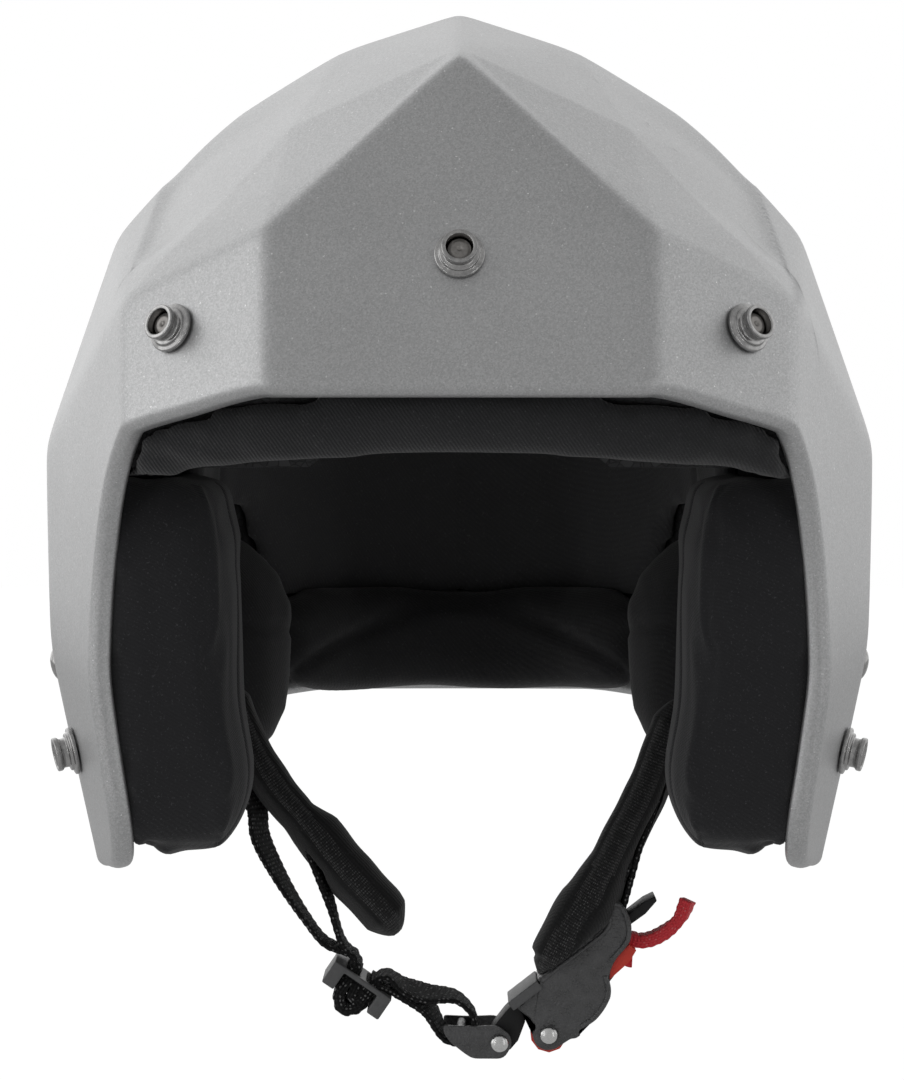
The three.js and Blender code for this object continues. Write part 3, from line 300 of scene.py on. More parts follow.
edge_line = smooth_path(edge_side, 12)
edge_polygon = np.vstack([edge_line, [(0.3, 0.5), (-0.3, 0.5)]])


def inside_edge(y, z):
    """Whether side-view points lie on the shell's side of the edge."""
    result = np.zeros(len(y), bool)
    for (y1, z1), (y2, z2) in zip(edge_polygon, np.roll(edge_polygon, -1, 0)):
        crossing = ((z1 > z) != (z2 > z)) & (y < (y2 - y1) * (z - z1) / (z2 - z1 + 1e-12) + y1)
        result ^= crossing
    return result


def ways_down(azimuth, elevation):
    """Directions from the crown (elevation 90 degrees) down round the head; azimuth 0 looks forward."""
    c = np.cos(elevation)
    return np.stack([np.sin(azimuth) * c, -np.cos(azimuth) * c, np.sin(elevation)], 1)


def run_along(line):
    """The distance from the first point of a line to each of its points."""
    return np.concatenate([[0], np.cumsum(np.linalg.norm(np.diff(line, axis=0), axis=1))])


def places_on(line, run, at):
    """The places on a line at the given distances along it."""
    return np.stack([np.interp(at, run, line[:, k]) for k in range(3)], 1)


def evened(ring, times):
    """A closed ring of points or ways, softened by each one's neighbours."""
    for _ in range(times):
        ring = (np.roll(ring, 1, 0) + 2 * ring + np.roll(ring, -1, 0)) / 4
    return ring


azimuths = np.linspace(0, 2 * np.pi, 7200, endpoint=False)
low, high = np.full(len(azimuths), -1.35), np.full(len(azimuths), 1.4)
for _ in range(34):
    mid = (low + high) / 2
    points, _ = shell_surface(ways_down(azimuths, mid))
    keep = inside_edge(points[:, 1], points[:, 2])
    high = np.where(keep, mid, high)
    low = np.where(keep, low, mid)
edge_points, _ = shell_surface(ways_down(azimuths, high))
around_count = 560
closed = np.vstack([edge_points, edge_points[:1]])
length = run_along(closed)
edge_points = evened(places_on(closed, length, np.linspace(0, length[-1], around_count, endpoint=False)), 3)


def to_ways(points):
    """The directions of points from the shell's centre."""
    return unit(points - shell_centre)


lip_width, lip_round, lip_inner_round = 6.4 * MM, 3.4 * MM, 2.0 * MM
inner_wall, inner_rings, ring_count = 4.5 * MM, 40, 150
edge_points, edge_normals = shell_surface(to_ways(edge_points))
edge_run = unit(np.roll(edge_points, -1, 0) - np.roll(edge_points, 1, 0))
beyond = unit(np.cross(edge_normals, edge_run))
if beyond[0][2] > 0:
    beyond = -beyond
beyond = unit(evened(beyond, 6))
last_ring, last_normals = shell_surface(to_ways(edge_points - beyond * lip_round))
crown = np.array([0.0, 0.0, 1.0])


def ring_rows(last, inset, count):
    """Rings from near the crown to the last ring, along great circles."""
    ends = to_ways(last)
    angle = np.arccos(np.clip(ends @ crown, -1, 1))[:, None]
    rows = []
    for k in range(1, count + 1):
        t = k / count
        way = unit((np.sin((1 - t) * angle) * crown + np.sin(t * angle) * ends) / np.sin(angle))
        rows.append(shell_surface(way, inset)[0])
    return rows


# Rows: the outside, the outer rounding, the lip's face, the inner rounding, and a wall inside that the liner hides
rows = ring_rows(last_ring, 0.0, ring_count)
for turn in np.linspace(0, np.pi / 2, 9)[1:]:
    rows.append(last_ring + beyond * lip_round * np.sin(turn) - last_normals * lip_round * (1 - np.cos(turn)))
inner_edge = last_ring + beyond * lip_round - last_normals * (lip_width - lip_inner_round)
rows.append((rows[-1] + inner_edge) / 2)
for turn in np.linspace(0, np.pi / 2, 6):
    rows.append(inner_edge - last_normals * lip_inner_round * np.sin(turn)
                - beyond * lip_inner_round * (1 - np.cos(turn)))
for back, down in ((3 * MM, lip_width), (4 * MM, inner_wall)):
    rows.append(last_ring - beyond * back - last_normals * down)
rows += ring_rows(last_ring - beyond * 6 * MM, inner_wall, inner_rings)[::-1]

vertices = [shell_surface(crown[None])[0][0]] + [p for row in rows for p in row]
vertices.append(shell_surface(crown[None], inner_wall)[0][0])
faces = []
for i in range(around_count):
    j = (i + 1) % around_count
    faces.append((0, 1 + i, 1 + j))
    for r in range(len(rows) - 1):
        a, b = 1 + r * around_count, 1 + (r + 1) * around_count
        faces.append((a + i, b + i, b + j, a + j))
    a = 1 + (len(rows) - 1) * around_count
    faces.append((a + i, len(vertices) - 1, a + j))


def new_piece(name, vertices, faces, material):
    """A smooth mesh object in the helmet's frame, in metres, with its normals pointing out."""
    mesh = bpy.data.meshes.new(name)
    mesh.from_pydata([tuple(v) for v in vertices], [], faces)
    made = bmesh.new()
    made.from_mesh(mesh)
    bmesh.ops.recalc_face_normals(made, faces=made.faces)
    made.to_mesh(mesh)
    made.free()
    mesh.shade_smooth()
    mesh.materials.append(material)
    return linked(name, mesh)


def principled(tree, inputs):
    """A Principled shader with its inputs, on the material's output."""
    shader = node(tree, "ShaderNodeBsdfPrincipled", inputs)
    node(tree, "ShaderNodeOutputMaterial", {"Surface": shader.outputs[0]})


def texture(tree, kind, inputs, **settings):
    """A texture's outputs on object coordinates."""
    place = node(tree, "ShaderNodeTexCoord").outputs["Object"]
    return node(tree, f"ShaderNodeTex{kind}", {"Vector": place, **inputs}, **settings).outputs


def ramp(tree, source, stops):
    """The colour of a ramp fed by a value."""
    made = node(tree, "ShaderNodeValToRGB", {"Fac": source})
    bar = made.color_ramp
    while len(bar.elements) < len(stops):
        bar.elements.new(0.5)
    for element, (place, color) in zip(bar.elements, stops):
        element.position, element.color = place, (*color, 1)
    return made.outputs["Color"]


def blended(tree, share, first, second, **settings):
    """Two colours mixed by a share of the second."""
    inputs = {"Factor": share, "A": first, "B": second}
    return node(tree, "ShaderNodeMix", inputs, data_type="RGBA", **settings).outputs["Result"]


def raised(tree, height, strength, distance):
    """A bumped normal from a height."""
    inputs = {"Height": height, "Strength": strength, "Distance": distance}
    return node(tree, "ShaderNodeBump", inputs).outputs["Normal"]


def grey(value):
    return value, value, value


silver, tree = new_material("silver_lacquer")
flakes = texture(tree, "Voronoi", {"Scale": 2600.0})
flake_tone = ramp(tree, flakes["Color"], [
    (0.0, (0.40, 0.402, 0.405)), (0.6, (0.50, 0.502, 0.505)), (0.93, (0.56, 0.562, 0.565)), (1.0, grey(0.92))])
cloud = texture(tree, "Noise", {"Scale": 14.0, "Detail": 3.0})
cloud_tone = ramp(tree, cloud["Fac"], [(0.35, grey(0.97)), (0.65, grey(1.03))])
principled(tree, {
    "Metallic": 0.85, "Roughness": 0.46, "Coat Weight": 0.15, "Coat Roughness": 0.15,
    "Base Color": blended(tree, 1.0, flake_tone, cloud_tone, blend_type="MULTIPLY"),
    "Normal": raised(tree, flakes["Distance"], 0.10, 0.2 * MM)})

shell = new_piece("shell", vertices, faces, silver)
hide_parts("outer_shell")
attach(shell, "helmet")

# Visor studs
# Five snap studs of dark nickel, each a turned cap held by a steel rivet through the shell.
# Three stand across the brow and one low on each side, square to the facet under them.
stud_names = ["brow_centre", "brow_left", "brow_right", "side_left", "side_right"]


def rounded(line, radius, steps=3, most=0.45, closed=False):
    """The same line with each corner turned into a short arc; a closed line has one at its first point too."""
    line = [np.array(p, float) for p in line]
    made = [] if closed else line[:1]
    corners = line[-1:] + line + line[:1] if closed else line
    for a, b, c in zip(corners[:-2], corners[1:-1], corners[2:]):
        reach_in, reach_out = np.linalg.norm(a - b), np.linalg.norm(c - b)
        cut = min(radius, most * reach_in, most * reach_out)
        start, end = b + (a - b) / reach_in * cut, b + (c - b) / reach_out * cut
        for t in np.linspace(0, 1, steps + 1):
            made.append((1 - t) ** 2 * start + 2 * t * (1 - t) * b + t ** 2 * end)
    return made if closed else made + line[-1:]


def turned(name, profile, sides, material):
    """A piece turned round Z from a profile of (radius, height) that starts and ends on the axis or meets itself."""
    loop = np.linalg.norm(np.array(profile[0]) - np.array(profile[-1])) < 1e-9
    profile = profile[:-1] if loop else profile
    angles = [2 * math.pi * k / sides for k in range(sides)]
    vertices = [(radius * math.cos(a), radius * math.sin(a), height) for radius, height in profile for a in angles]
    rings, faces = len(profile), []
    for r in range(rings if loop else rings - 1):
        for k in range(sides):
            a, b = r * sides, ((r + 1) % rings) * sides
            j = (k + 1) % sides
            faces.append((a + k, a + j, b + j, b + k))
    made = new_piece(name, vertices, faces, material)
    work = bmesh.new()
    work.from_mesh(made.data)
    bmesh.ops.remove_doubles(work, verts=work.verts, dist=1e-7)
    bmesh.ops.dissolve_degenerate(work, edges=work.edges, dist=1e-7)
    bmesh.ops.recalc_face_normals(work, faces=work.faces)
    work.to_mesh(made.data)
    work.free()
    made.data.shade_smooth()
    made.data.set_sharp_from_angle(angle=math.radians(50))
    return made


def node_points(name):
    """The corners of a CAD node's mesh."""
    return np.array([v.co for v in nodes[name].data.vertices])


def node_axis(name, outward):
    """The base point on a turned CAD node's axis and its axis, pointing away from the given point."""
    points = node_points(name)
    centre = (points.min(0) + points.max(0)) / 2
    work = bmesh.new()
    work.from_mesh(nodes[name].data)
    spread = np.zeros((3, 3))
    for face in work.faces:
        m = np.array(face.normal)
        spread += np.outer(m, m) * face.calc_area()
    work.free()
    values, ways = np.linalg.eigh(spread)
    gaps = [abs(values[1] - values[2]), abs(values[0] - values[2]), abs(values[0] - values[1])]
    way = ways[:, int(np.argmin(gaps))]
    way = way if way @ (centre - outward) > 0 else -way
    along = points @ way
    flat = points - np.outer(along, way)
    across = np.linalg.svd(np.array([way]))[2][1:]
    on_axis = np.mean([flat[np.argsort(flat @ d)[[0, -1]]].mean(0) for d in across], 0)
    return on_axis + way * along.min(), way


def node_height(name, base, way):
    """How far a CAD node reaches from a point along a way."""
    return float(((node_points(name) - base) @ way).max())


def plain_mesh(piece):
    """Turns what the piece's modifiers make into its own mesh, and takes the modifiers off."""
    bpy.context.view_layer.update()
    made = bpy.data.meshes.new_from_object(piece.evaluated_get(bpy.context.evaluated_depsgraph_get()))
    made.name = piece.name
    piece.modifiers.clear()
    piece.data = made
    return piece


def node_group(name, inputs, outputs, kind="ShaderNodeTree"):
    """A node group with named inputs and outputs (name, socket kind, first value); returns it and its inputs."""
    tree = bpy.data.node_groups.new(name, kind)
    for in_out, sockets in (("INPUT", inputs), ("OUTPUT", outputs)):
        for key, socket_kind, *first in sockets:
            made = tree.interface.new_socket(key, in_out=in_out, socket_type=f"NodeSocket{socket_kind}")
            if first:
                made.default_value = first[0]
    return tree, node(tree, "NodeGroupInput").outputs


def copies_on_points():
    """Copies of a small piece on a mesh's points, each with its Z along the way stored there."""
    tree, given = node_group(
        "copies_on_points",
        [("Geometry", "Geometry"), ("Pattern", "Object"), ("Finish", "Material"), ("Size", "Float", 1.0)],
        [("Geometry", "Geometry")], "GeometryNodeTree")
    way = node(tree, "GeometryNodeInputNamedAttribute", {"Name": "way"}, data_type="FLOAT_VECTOR")
    turn = node(tree, "FunctionNodeAlignRotationToVector", {"Vector": way.outputs["Attribute"]}, axis="Z")
    pattern = node(tree, "GeometryNodeObjectInfo", {"Object": given["Pattern"]})
    copies = node(tree, "GeometryNodeInstanceOnPoints", {
        "Points": given["Geometry"], "Instance": pattern.outputs["Geometry"],
        "Rotation": turn.outputs["Rotation"], "Scale": given["Size"]})
    real = node(tree, "GeometryNodeRealizeInstances", {"Geometry": copies.outputs["Instances"]})
    finish = node(tree, "GeometryNodeSetMaterial", {"Geometry": real.outputs["Geometry"], "Material": given["Finish"]})
    node(tree, "NodeGroupOutput", {"Geometry": finish.outputs["Geometry"]})
    return tree


place_tree = copies_on_points()


def set_on_points(name, pattern, places, ways, material):
    """Copies of a small piece on points, each with its Z along the way given there, as one mesh."""
    mesh = bpy.data.meshes.new(name)
    mesh.from_pydata([tuple(p) for p in places], [], [])
    mesh.attributes.new("way", "FLOAT_VECTOR", "POINT").data.foreach_set("vector", np.array(ways, float).ravel())
    piece = linked(name, mesh)
    set_by = piece.modifiers.new("places", "NODES")
    set_by.node_group = place_tree
    sockets = {i.name: i.identifier for i in place_tree.interface.items_tree if i.in_out == "INPUT"}
    for key, value in (("Pattern", pattern), ("Finish", material), ("Size", 1.0)):
        set_by[sockets[key]] = value
    piece = plain_mesh(piece)
    bpy.data.objects.remove(pattern, do_unlink=True)
    return piece


def handled_metal():
    """Handling marks on metal: a roughness that drifts, with fine rub lines, and its mask."""
    tree, given = node_group(
        "handled_metal", [("Scale", "Float", 400.0), ("Smooth", "Float", 0.2), ("Dull", "Float", 0.4)],
        [("Roughness", "Float"), ("Mask", "Float")])
    cloud = texture(tree, "Noise", {"Scale": given["Scale"], "Detail": 5.0})
    fine = texture(tree, "Noise", {"Scale": maths(tree, "MULTIPLY", given["Scale"], 7.0), "Detail": 2.0})
    mask = node(tree, "ShaderNodeMix", {"Factor": 0.45, "A": cloud["Fac"], "B": fine["Fac"]}).outputs["Result"]
    roughness = to_range(tree, mask, 0.35, 0.65, given["Smooth"], given["Dull"])
    node(tree, "NodeGroupOutput", {"Roughness": roughness, "Mask": mask})
    return tree


handled = handled_metal()


def metal(name, dark, light, smooth, dull, scale, metallic=1.0, pits=0.0, pit_scale=2500.0, pit_depth=0.2 * MM,
          specular=0.5):
    """A metal or moulding with handling marks, and with pits where its face is textured."""
    made, tree = new_material(name)
    marks = node(tree, "ShaderNodeGroup", {"Scale": scale, "Smooth": smooth, "Dull": dull}, node_tree=handled).outputs
    inputs = {
        "Metallic": metallic, "Specular IOR Level": specular, "Roughness": marks["Roughness"],
        "Base Color": ramp(tree, marks["Mask"], [(0.35, dark), (0.65, light)])}
    if pits:
        grain = texture(tree, "Noise", {"Scale": pit_scale, "Detail": 2.0})
        inputs["Normal"] = raised(tree, grain["Fac"], pits, pit_depth)
    principled(tree, inputs)
    return made


dark_nickel = metal("dark_nickel", (0.28, 0.278, 0.278), (0.47, 0.466, 0.46), 0.09, 0.20, 700.0)
bright_steel = metal("bright_steel", (0.62, 0.62, 0.615), (0.72, 0.72, 0.715), 0.20, 0.30, 900.0)
oiled_steel = metal("oiled_steel", (0.20, 0.19, 0.18), (0.30, 0.29, 0.28), 0.28, 0.40, 900.0)

stud_places, stud_ways = zip(*(node_axis(f"stud_{name}", shell_centre) for name in stud_names))
stud_profile = rounded([(r * MM, h * MM) for r, h in [
    (2.2, 0.3), (7.0, 0.3), (7.0, 1.4), (5.6, 1.75), (5.6, 2.45), (4.35, 2.7), (4.3, 4.4), (5.0, 4.9),
    (5.0, 6.3), (3.75, 6.3), (3.6, 2.6), (2.2, 2.6)]], 0.38 * MM)
stud_pattern = turned("stud_pattern", stud_profile + stud_profile[:1], 56, dark_nickel)
stud_sunk = 0.3 * MM
studs = set_on_points(
    "visor_studs", stud_pattern, [p - w * stud_sunk for p, w in zip(stud_places, stud_ways)], stud_ways, dark_nickel)
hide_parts(*(f"stud_{name}" for name in stud_names))
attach(studs, "helmet")

post_places, post_ways = zip(*(node_axis(f"stud_rivet_{name}", shell_centre) for name in stud_names))
post_profile = rounded([(r * MM, h * MM) for r, h in [
    (0.0, 0.0), (4.0, 0.0), (4.0, 1.3), (1.9, 1.3), (1.9, 7.2), (3.3, 7.2), (3.3, 8.1), (2.1, 8.55), (0.9, 8.5),
    (0.0, 8.05)]], 0.35 * MM)
post_stretch = node_height("stud_rivet_brow_centre", post_places[0], post_ways[0]) / post_profile[-3][1]
post_profile = [(r, max(h, 0.0) * post_stretch) for r, h in post_profile]
post_pattern = turned("post_pattern", post_profile, 40, oiled_steel)
posts = set_on_points("visor_stud_rivets", post_pattern, post_places, post_ways, oiled_steel)
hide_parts(*(f"stud_rivet_{name}" for name in stud_names))
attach(posts, "helmet")

# Foam liner
# The energy liner and the cheek backings, moulded from black polystyrene beads fused together.
# The liner is pressed into the shell; the backings carry the cheek pads.
bead_foam, tree = new_material("bead_foam")
bead_scale = 420.0
beads = texture(tree, "Voronoi", {"Scale": bead_scale})
between_beads = texture(tree, "Voronoi", {"Scale": bead_scale}, feature="DISTANCE_TO_EDGE")
bead_tone = ramp(tree, beads["Color"], [
    (0.0, (0.028, 0.028, 0.029)), (0.7, (0.045, 0.045, 0.047)), (1.0, (0.062, 0.062, 0.064))])
joint_mask = ramp(tree, between_beads["Distance"], [(0.0, grey(0.35)), (0.09, grey(1))])
principled(tree, {
    "Roughness": 0.88, "Specular IOR Level": 0.28,
    "Base Color": blended(tree, 1.0, bead_tone, joint_mask, blend_type="MULTIPLY"),
    "Normal": raised(tree, joint_mask, 0.5, 0.4 * MM)})


def finish_node(name, material):
    """Gives a carried-over CAD node its material."""
    mesh = nodes[name].data
    if not mesh.materials:
        mesh.materials.append(material)
    for k in range(len(mesh.materials)):
        mesh.materials[k] = material


for name in ("foam_liner", "cheek_backing_left", "cheek_backing_right"):
    finish_node(name, bead_foam)

# Press fasteners
# Small steel press studs that hold each cheek pad to its foam backing, hidden once it is fitted.
for side in ("left", "right"):
    for k in (1, 2, 3):
        finish_node(f"cheek_press_{side}_{k}", bright_steel)

# Lining cloth
# A black brushed knit bonded to thin foam covers every pad, sewn at the edges.
# Its face shows fine slanting ribs and a scatter of lighter fibre ends.


def knit_face():
    """The knit's face: slanting rows of loops with loose fibre ends, as a colour and a height."""
    tree, given = node_group("knit_face", [
        ("Vector", "Vector"), ("Ribs", "Float", 1100.0), ("Ends", "Float", 1500.0), ("Rib Depth", "Float", 0.5),
        ("Dark", "Color"), ("Light", "Color"), ("Fibre", "Color")], [("Color", "Color"), ("Height", "Float")])
    place = given["Vector"]
    waver = node(tree, "ShaderNodeTexNoise", {"Vector": place, "Scale": 350.0, "Detail": 2.0}).outputs["Color"]
    moved = node(tree, "ShaderNodeVectorMath", {0: waver, 1: (0.5 * MM,) * 3, 2: place}, operation="MULTIPLY_ADD")
    rib_scale = maths(tree, "MULTIPLY", given["Ribs"], 1 / (2 * math.pi))
    ribs = node(
        tree, "ShaderNodeTexWave", {"Vector": moved.outputs[0], "Scale": rib_scale, "Detail": 0.0},
        wave_type="BANDS", bands_direction="DIAGONAL").outputs["Fac"]
    ends = node(tree, "ShaderNodeTexNoise", {
        "Vector": place, "Scale": given["Ends"], "Detail": 3.0, "Roughness": 0.7}).outputs["Fac"]
    drift = node(tree, "ShaderNodeTexNoise", {"Vector": place, "Scale": 60.0, "Detail": 4.0}).outputs["Fac"]
    share = node(tree, "ShaderNodeMix", {"Factor": 0.55, "A": ribs, "B": drift}).outputs["Result"]
    tone = blended(tree, share, given["Dark"], given["Light"])
    lit = blended(tree, to_range(tree, ends, 0.60, 0.78), tone, given["Fibre"])
    height = maths(tree, "MULTIPLY_ADD", ribs, given["Rib Depth"], ends)
    node(tree, "NodeGroupOutput", {"Color": lit, "Height": height})
    return tree


knit_tree = knit_face()


def knit_cloth(name, dark, light, fibre, turn=(0, 0, 0), ribs=2300.0, ends=1500.0, rib_depth=0.3):
    """The lining's knit in a tone given for each piece, painted lighter where the piece sits in shade, and with its own
    run of the ribs.
    """
    made, tree = new_material(name)
    place = node(tree, "ShaderNodeTexCoord").outputs["Object"]
    place = node(tree, "ShaderNodeMapping", {"Vector": place, "Rotation": turn}).outputs["Vector"]
    face = node(tree, "ShaderNodeGroup", {
        "Vector": place, "Ribs": ribs, "Ends": ends, "Rib Depth": rib_depth,
        "Dark": (*dark, 1), "Light": (*light, 1), "Fibre": (*fibre, 1)}, node_tree=knit_tree).outputs
    principled(tree, {
        "Roughness": 0.92, "Specular IOR Level": 0.18, "Sheen Weight": 0.25, "Sheen Roughness": 0.55,
        "Base Color": face["Color"], "Normal": raised(tree, face["Height"], 0.55, 0.3 * MM)})
    return made


def merged_copy(name, source):
    """A mesh copied from a CAD node with its corners joined."""
    work = bmesh.new()
    work.from_mesh(nodes[source].data)
    bmesh.ops.remove_doubles(work, verts=work.verts, dist=1e-6)
    mesh = bpy.data.meshes.new(name)
    work.to_mesh(mesh)
    work.free()
    return linked(name, mesh)


def hold_in(piece, room, proud):
    """Brings back points that stand further out of the CAD pad than allowed."""
    for vertex in piece.data.vertices:
        spot, way, _, _ = room.find_nearest(vertex.co)
        if (vertex.co - spot).dot(way) > proud:
            vertex.co = spot + way * proud


def stuffed(name, source, slack, voxel, cap, smoothing, levels=1, swell=True):
    """A CAD pad as filled cloth: a smaller copy, remeshed, swollen by cloth simulation and held in the pad's room."""
    pressure, last_frame, proud = 4.0, 20, 0.2 * MM
    piece = merged_copy(name, source)
    room = BVHTree.FromPolygons(
        [v.co.copy() for v in piece.data.vertices], [tuple(p.vertices) for p in piece.data.polygons])
    remesh = piece.modifiers.new("remesh", "REMESH")
    remesh.mode, remesh.voxel_size = "VOXEL", voxel
    relax = piece.modifiers.new("relax", "SMOOTH")
    relax.factor, relax.iterations = 0.5, smoothing
    shrink = piece.modifiers.new("shrink", "DISPLACE")
    shrink.strength, shrink.mid_level = -slack, 0.0
    plain_mesh(piece)
    before = [v.co.copy() for v in piece.data.vertices]
    if swell:
        cloth = piece.modifiers.new("cloth", "CLOTH")
        for key, value in {
                "quality": 6, "mass": 0.15, "tension_stiffness": 12, "compression_stiffness": 12,
                "shear_stiffness": 5, "bending_stiffness": 0.6, "use_pressure": True,
                "uniform_pressure_force": pressure}.items():
            setattr(cloth.settings, key, value)
        cloth.settings.effector_weights.gravity = 0
        cloth.collision_settings.use_collision = False
        cloth.point_cache.frame_start, cloth.point_cache.frame_end = 1, last_frame
        for frame_number in range(1, last_frame + 1):
            scene.frame_set(frame_number)
        plain_mesh(piece)
        scene.frame_set(1)
    for vertex, start in zip(piece.data.vertices, before):
        move = vertex.co - start
        if move.length > cap:
            vertex.co = start + move * (cap / move.length)
    hold_in(piece, room, proud)
    finer = piece.modifiers.new("finer", "SUBSURF")
    finer.levels = finer.render_levels = levels
    plain_mesh(piece)
    hold_in(piece, room, proud)
    piece.data.shade_smooth()
    return piece


def sewn(piece, rule, cloth):
    """Moves each point along its normal by what the rule gives for its place and normal, and covers the pad."""
    normals = [v.normal.copy() for v in piece.data.vertices]
    places = np.array([v.co for v in piece.data.vertices])
    lifts = rule(places, np.array(normals))
    for vertex, way, lift in zip(piece.data.vertices, normals, lifts):
        vertex.co += way * float(lift)
    piece.data.update()
    piece.data.materials.clear()
    piece.data.materials.append(cloth)


def groove(distance, width, depth):
    """A seam's valley: how far the cloth dips at a distance from the seam line."""
    return -depth * np.exp(-(np.asarray(distance) / width) ** 2)


def share_of(value, start, reach):
    """How far a value has gone from its start over a reach, from 0 to 1."""
    return np.clip((value - start) / reach, 0, 1)


def mirrored_copy(piece, name):
    """The same pad for the other side of the head."""
    mesh = piece.data.copy()
    mesh.name = name
    work = bmesh.new()
    work.from_mesh(mesh)
    for vertex in work.verts:
        vertex.co.x = -vertex.co.x
    bmesh.ops.recalc_face_normals(work, faces=work.faces)
    work.to_mesh(mesh)
    work.free()
    mesh.shade_smooth()
    return linked(name, mesh)


# Brow pad
# A soft roll sewn along the lining's front edge, which rests on the forehead and droops at the temples.
# It tucks over the tops of the cheek pads, where its cloth gathers in small folds.
knit_brow = knit_cloth(
    "knit_brow", (0.022, 0.022, 0.0235), (0.042, 0.042, 0.0445), (0.120, 0.120, 0.125),
    turn=(0, 0, math.radians(45)), ribs=2600.0, rib_depth=0.9)
brow_roll = stuffed("brow_roll", "brow_pad", slack=0.8 * MM, voxel=4.2 * MM, cap=4 * MM, smoothing=4)


def brow_rule(places, ways):
    """Folds at the temples, a drift of the cloth, a fuller upper front and ends that meet the cheek pads."""
    x, y, z = places.T
    side = share_of(np.abs(x), 0.055, 0.03)
    folds = 0.5 * MM * side * np.sin(z * 900 + x * 260)
    drift = 0.3 * MM * np.sin(x * 150 + 0.7) * np.sin(z * 210)
    upper_front = 3.4 * MM * np.clip(ways[:, 2] * 0.75 - ways[:, 1] * 0.65, 0, 1) ** 3
    end_fill = 3.0 * MM * share_of(np.abs(x), 0.082, 0.010) * np.clip(np.abs(ways[:, 0]), 0, 1)
    return folds + drift + upper_front + end_fill


sewn(brow_roll, brow_rule, knit_brow)
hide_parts("brow_pad")
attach(brow_roll, "helmet")

# Cheek pads
# Two thick removable cushions of cut foam in sewn covers, pressed onto the foam backings.
# The front panel and the face-side panel meet in a raised seam that runs down to the rounded foot.
knit_cheek = knit_cloth(
    "knit_cheek", (0.0200, 0.0200, 0.0220), (0.0260, 0.0260, 0.0285), (0.105, 0.105, 0.112),
    turn=(0, math.radians(20), 0), ribs=2900.0)
cheek_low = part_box("cheek_pad_right")[0]
welt_turn, seam_back = math.radians(52), 20 * MM


def cheek_rule(places, ways):
    """The raised seam, a seam on the face side, small folds, a full belly and a rounder foot."""
    (x, y, z), height = places.T, places[:, 2] - cheek_low[2]
    flat, inwards = np.hypot(ways[:, 0], ways[:, 1]), np.clip(-ways[:, 0], 0, 1)
    upright = flat > 0.55
    off_edge = np.abs(np.arctan2(-ways[:, 0], -ways[:, 1]) - welt_turn) * 7.5 * MM
    near = np.where(upright & (ways[:, 0] < 0.35), off_edge, 1.0)
    welt = -groove(near, 1.1 * MM, 0.4 * MM) + groove(near - 2.4 * MM, 1.0 * MM, 0.3 * MM)
    folds = 0.3 * MM * share_of(z, 0.004, 0.016) * np.sin(x * 420 + z * 300)
    rest = 0.4 * MM * np.sin(z * 95 + 1.0) * np.sin(y * 80)
    off_seam = np.abs(y - (cheek_low[1] + seam_back + 0.10 * height))
    inner_seam = groove(np.where(ways[:, 0] < -0.6, off_seam, 1.0), 1.3 * MM, 0.9 * MM)
    to_lip = 2.6 * MM * np.clip(ways[:, 0], 0, 1) * share_of(-y, 0.030, 0.015)
    belly = 4.2 * MM * inwards * share_of(-y, 0.022, 0.012) * np.exp(-((height - 0.026) / 0.016) ** 2)
    foot_way = np.clip(-ways[:, 0] * 0.7 - ways[:, 2] * 0.7 - 0.3, 0, 0.7) / 0.7
    inner_foot = -4.0 * MM * foot_way * np.exp(-(height / 0.010) ** 2)
    return np.where(upright, welt, 0) + folds + rest + inner_seam + to_lip + belly + inner_foot


cheek_right = stuffed(
    "cheek_cushion_right", "cheek_pad_right", slack=1.0 * MM, voxel=4.0 * MM, cap=5 * MM, smoothing=3, levels=2)
sewn(cheek_right, cheek_rule, knit_cheek)
cheek_left = mirrored_copy(cheek_right, "cheek_cushion_left")
for side, pad in (("right", cheek_right), ("left", cheek_left)):
    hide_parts(f"cheek_pad_{side}")
    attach(pad, "helmet")

# Neck pads
# Softer blocks behind the strap on each side, covered in the same knit, with a seam across the middle.
# They fill the room between the cheek pads and the neck roll.
# The neck knit is set a little lighter than the brow and cheek pads' knit. This is painted light for the shade at the
# back of the lining.
knit_neck = knit_cloth("knit_neck", (0.0270, 0.0270, 0.0283), (0.0380, 0.0380, 0.0397), (0.092, 0.092, 0.096))


def neck_rule(places, ways):
    """The seam across the middle, an uneven filling, and a fuller face side and top."""
    _, y, z = places.T
    seam = groove(np.abs(z + 0.0077 + 0.10 * (y - 0.03)), 1.4 * MM, 1.0 * MM)
    rest = 0.7 * MM * np.sin(z * 70 + y * 60) * np.sin(y * 85)
    face_side = 1.6 * MM * np.clip(-ways[:, 0] - 0.2, 0, 0.5)
    to_lining = 3.0 * MM * np.clip(ways[:, 2], 0, 1)
    return seam + rest + face_side + to_lining


neck_right = stuffed(
    "neck_cushion_right", "neck_pad_right", slack=1.0 * MM, voxel=4.5 * MM, cap=5 * MM, smoothing=5)
sewn(neck_right, neck_rule, knit_neck)
neck_left = mirrored_copy(neck_right, "neck_cushion_left")
for side, pad in (("right", neck_right), ("left", neck_left)):
    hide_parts(f"neck_pad_{side}")
    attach(pad, "helmet")

# Neck roll
# A padded roll round the back of the neck at the liner's rear edge, sewn to the lining above it.
# The seam arches over the middle and drops towards the ends.


def roll_rule(places, ways):
    """The arched seam, an uneven filling and a top that rises to the lining."""
    x, _, z = places.T
    arch = -0.0050 - 0.017 * (x / 0.049) ** 2
    seam = groove(np.where(ways[:, 1] < 0.3, np.abs(z - arch), 1.0), 2.4 * MM, 1.7 * MM)
    rest = 0.6 * MM * np.sin(x * 130) * np.sin(z * 160 + 0.6)
    to_lining = 6.6 * MM * np.clip(ways[:, 2], 0, 1) ** 1.3
    return seam + rest + to_lining


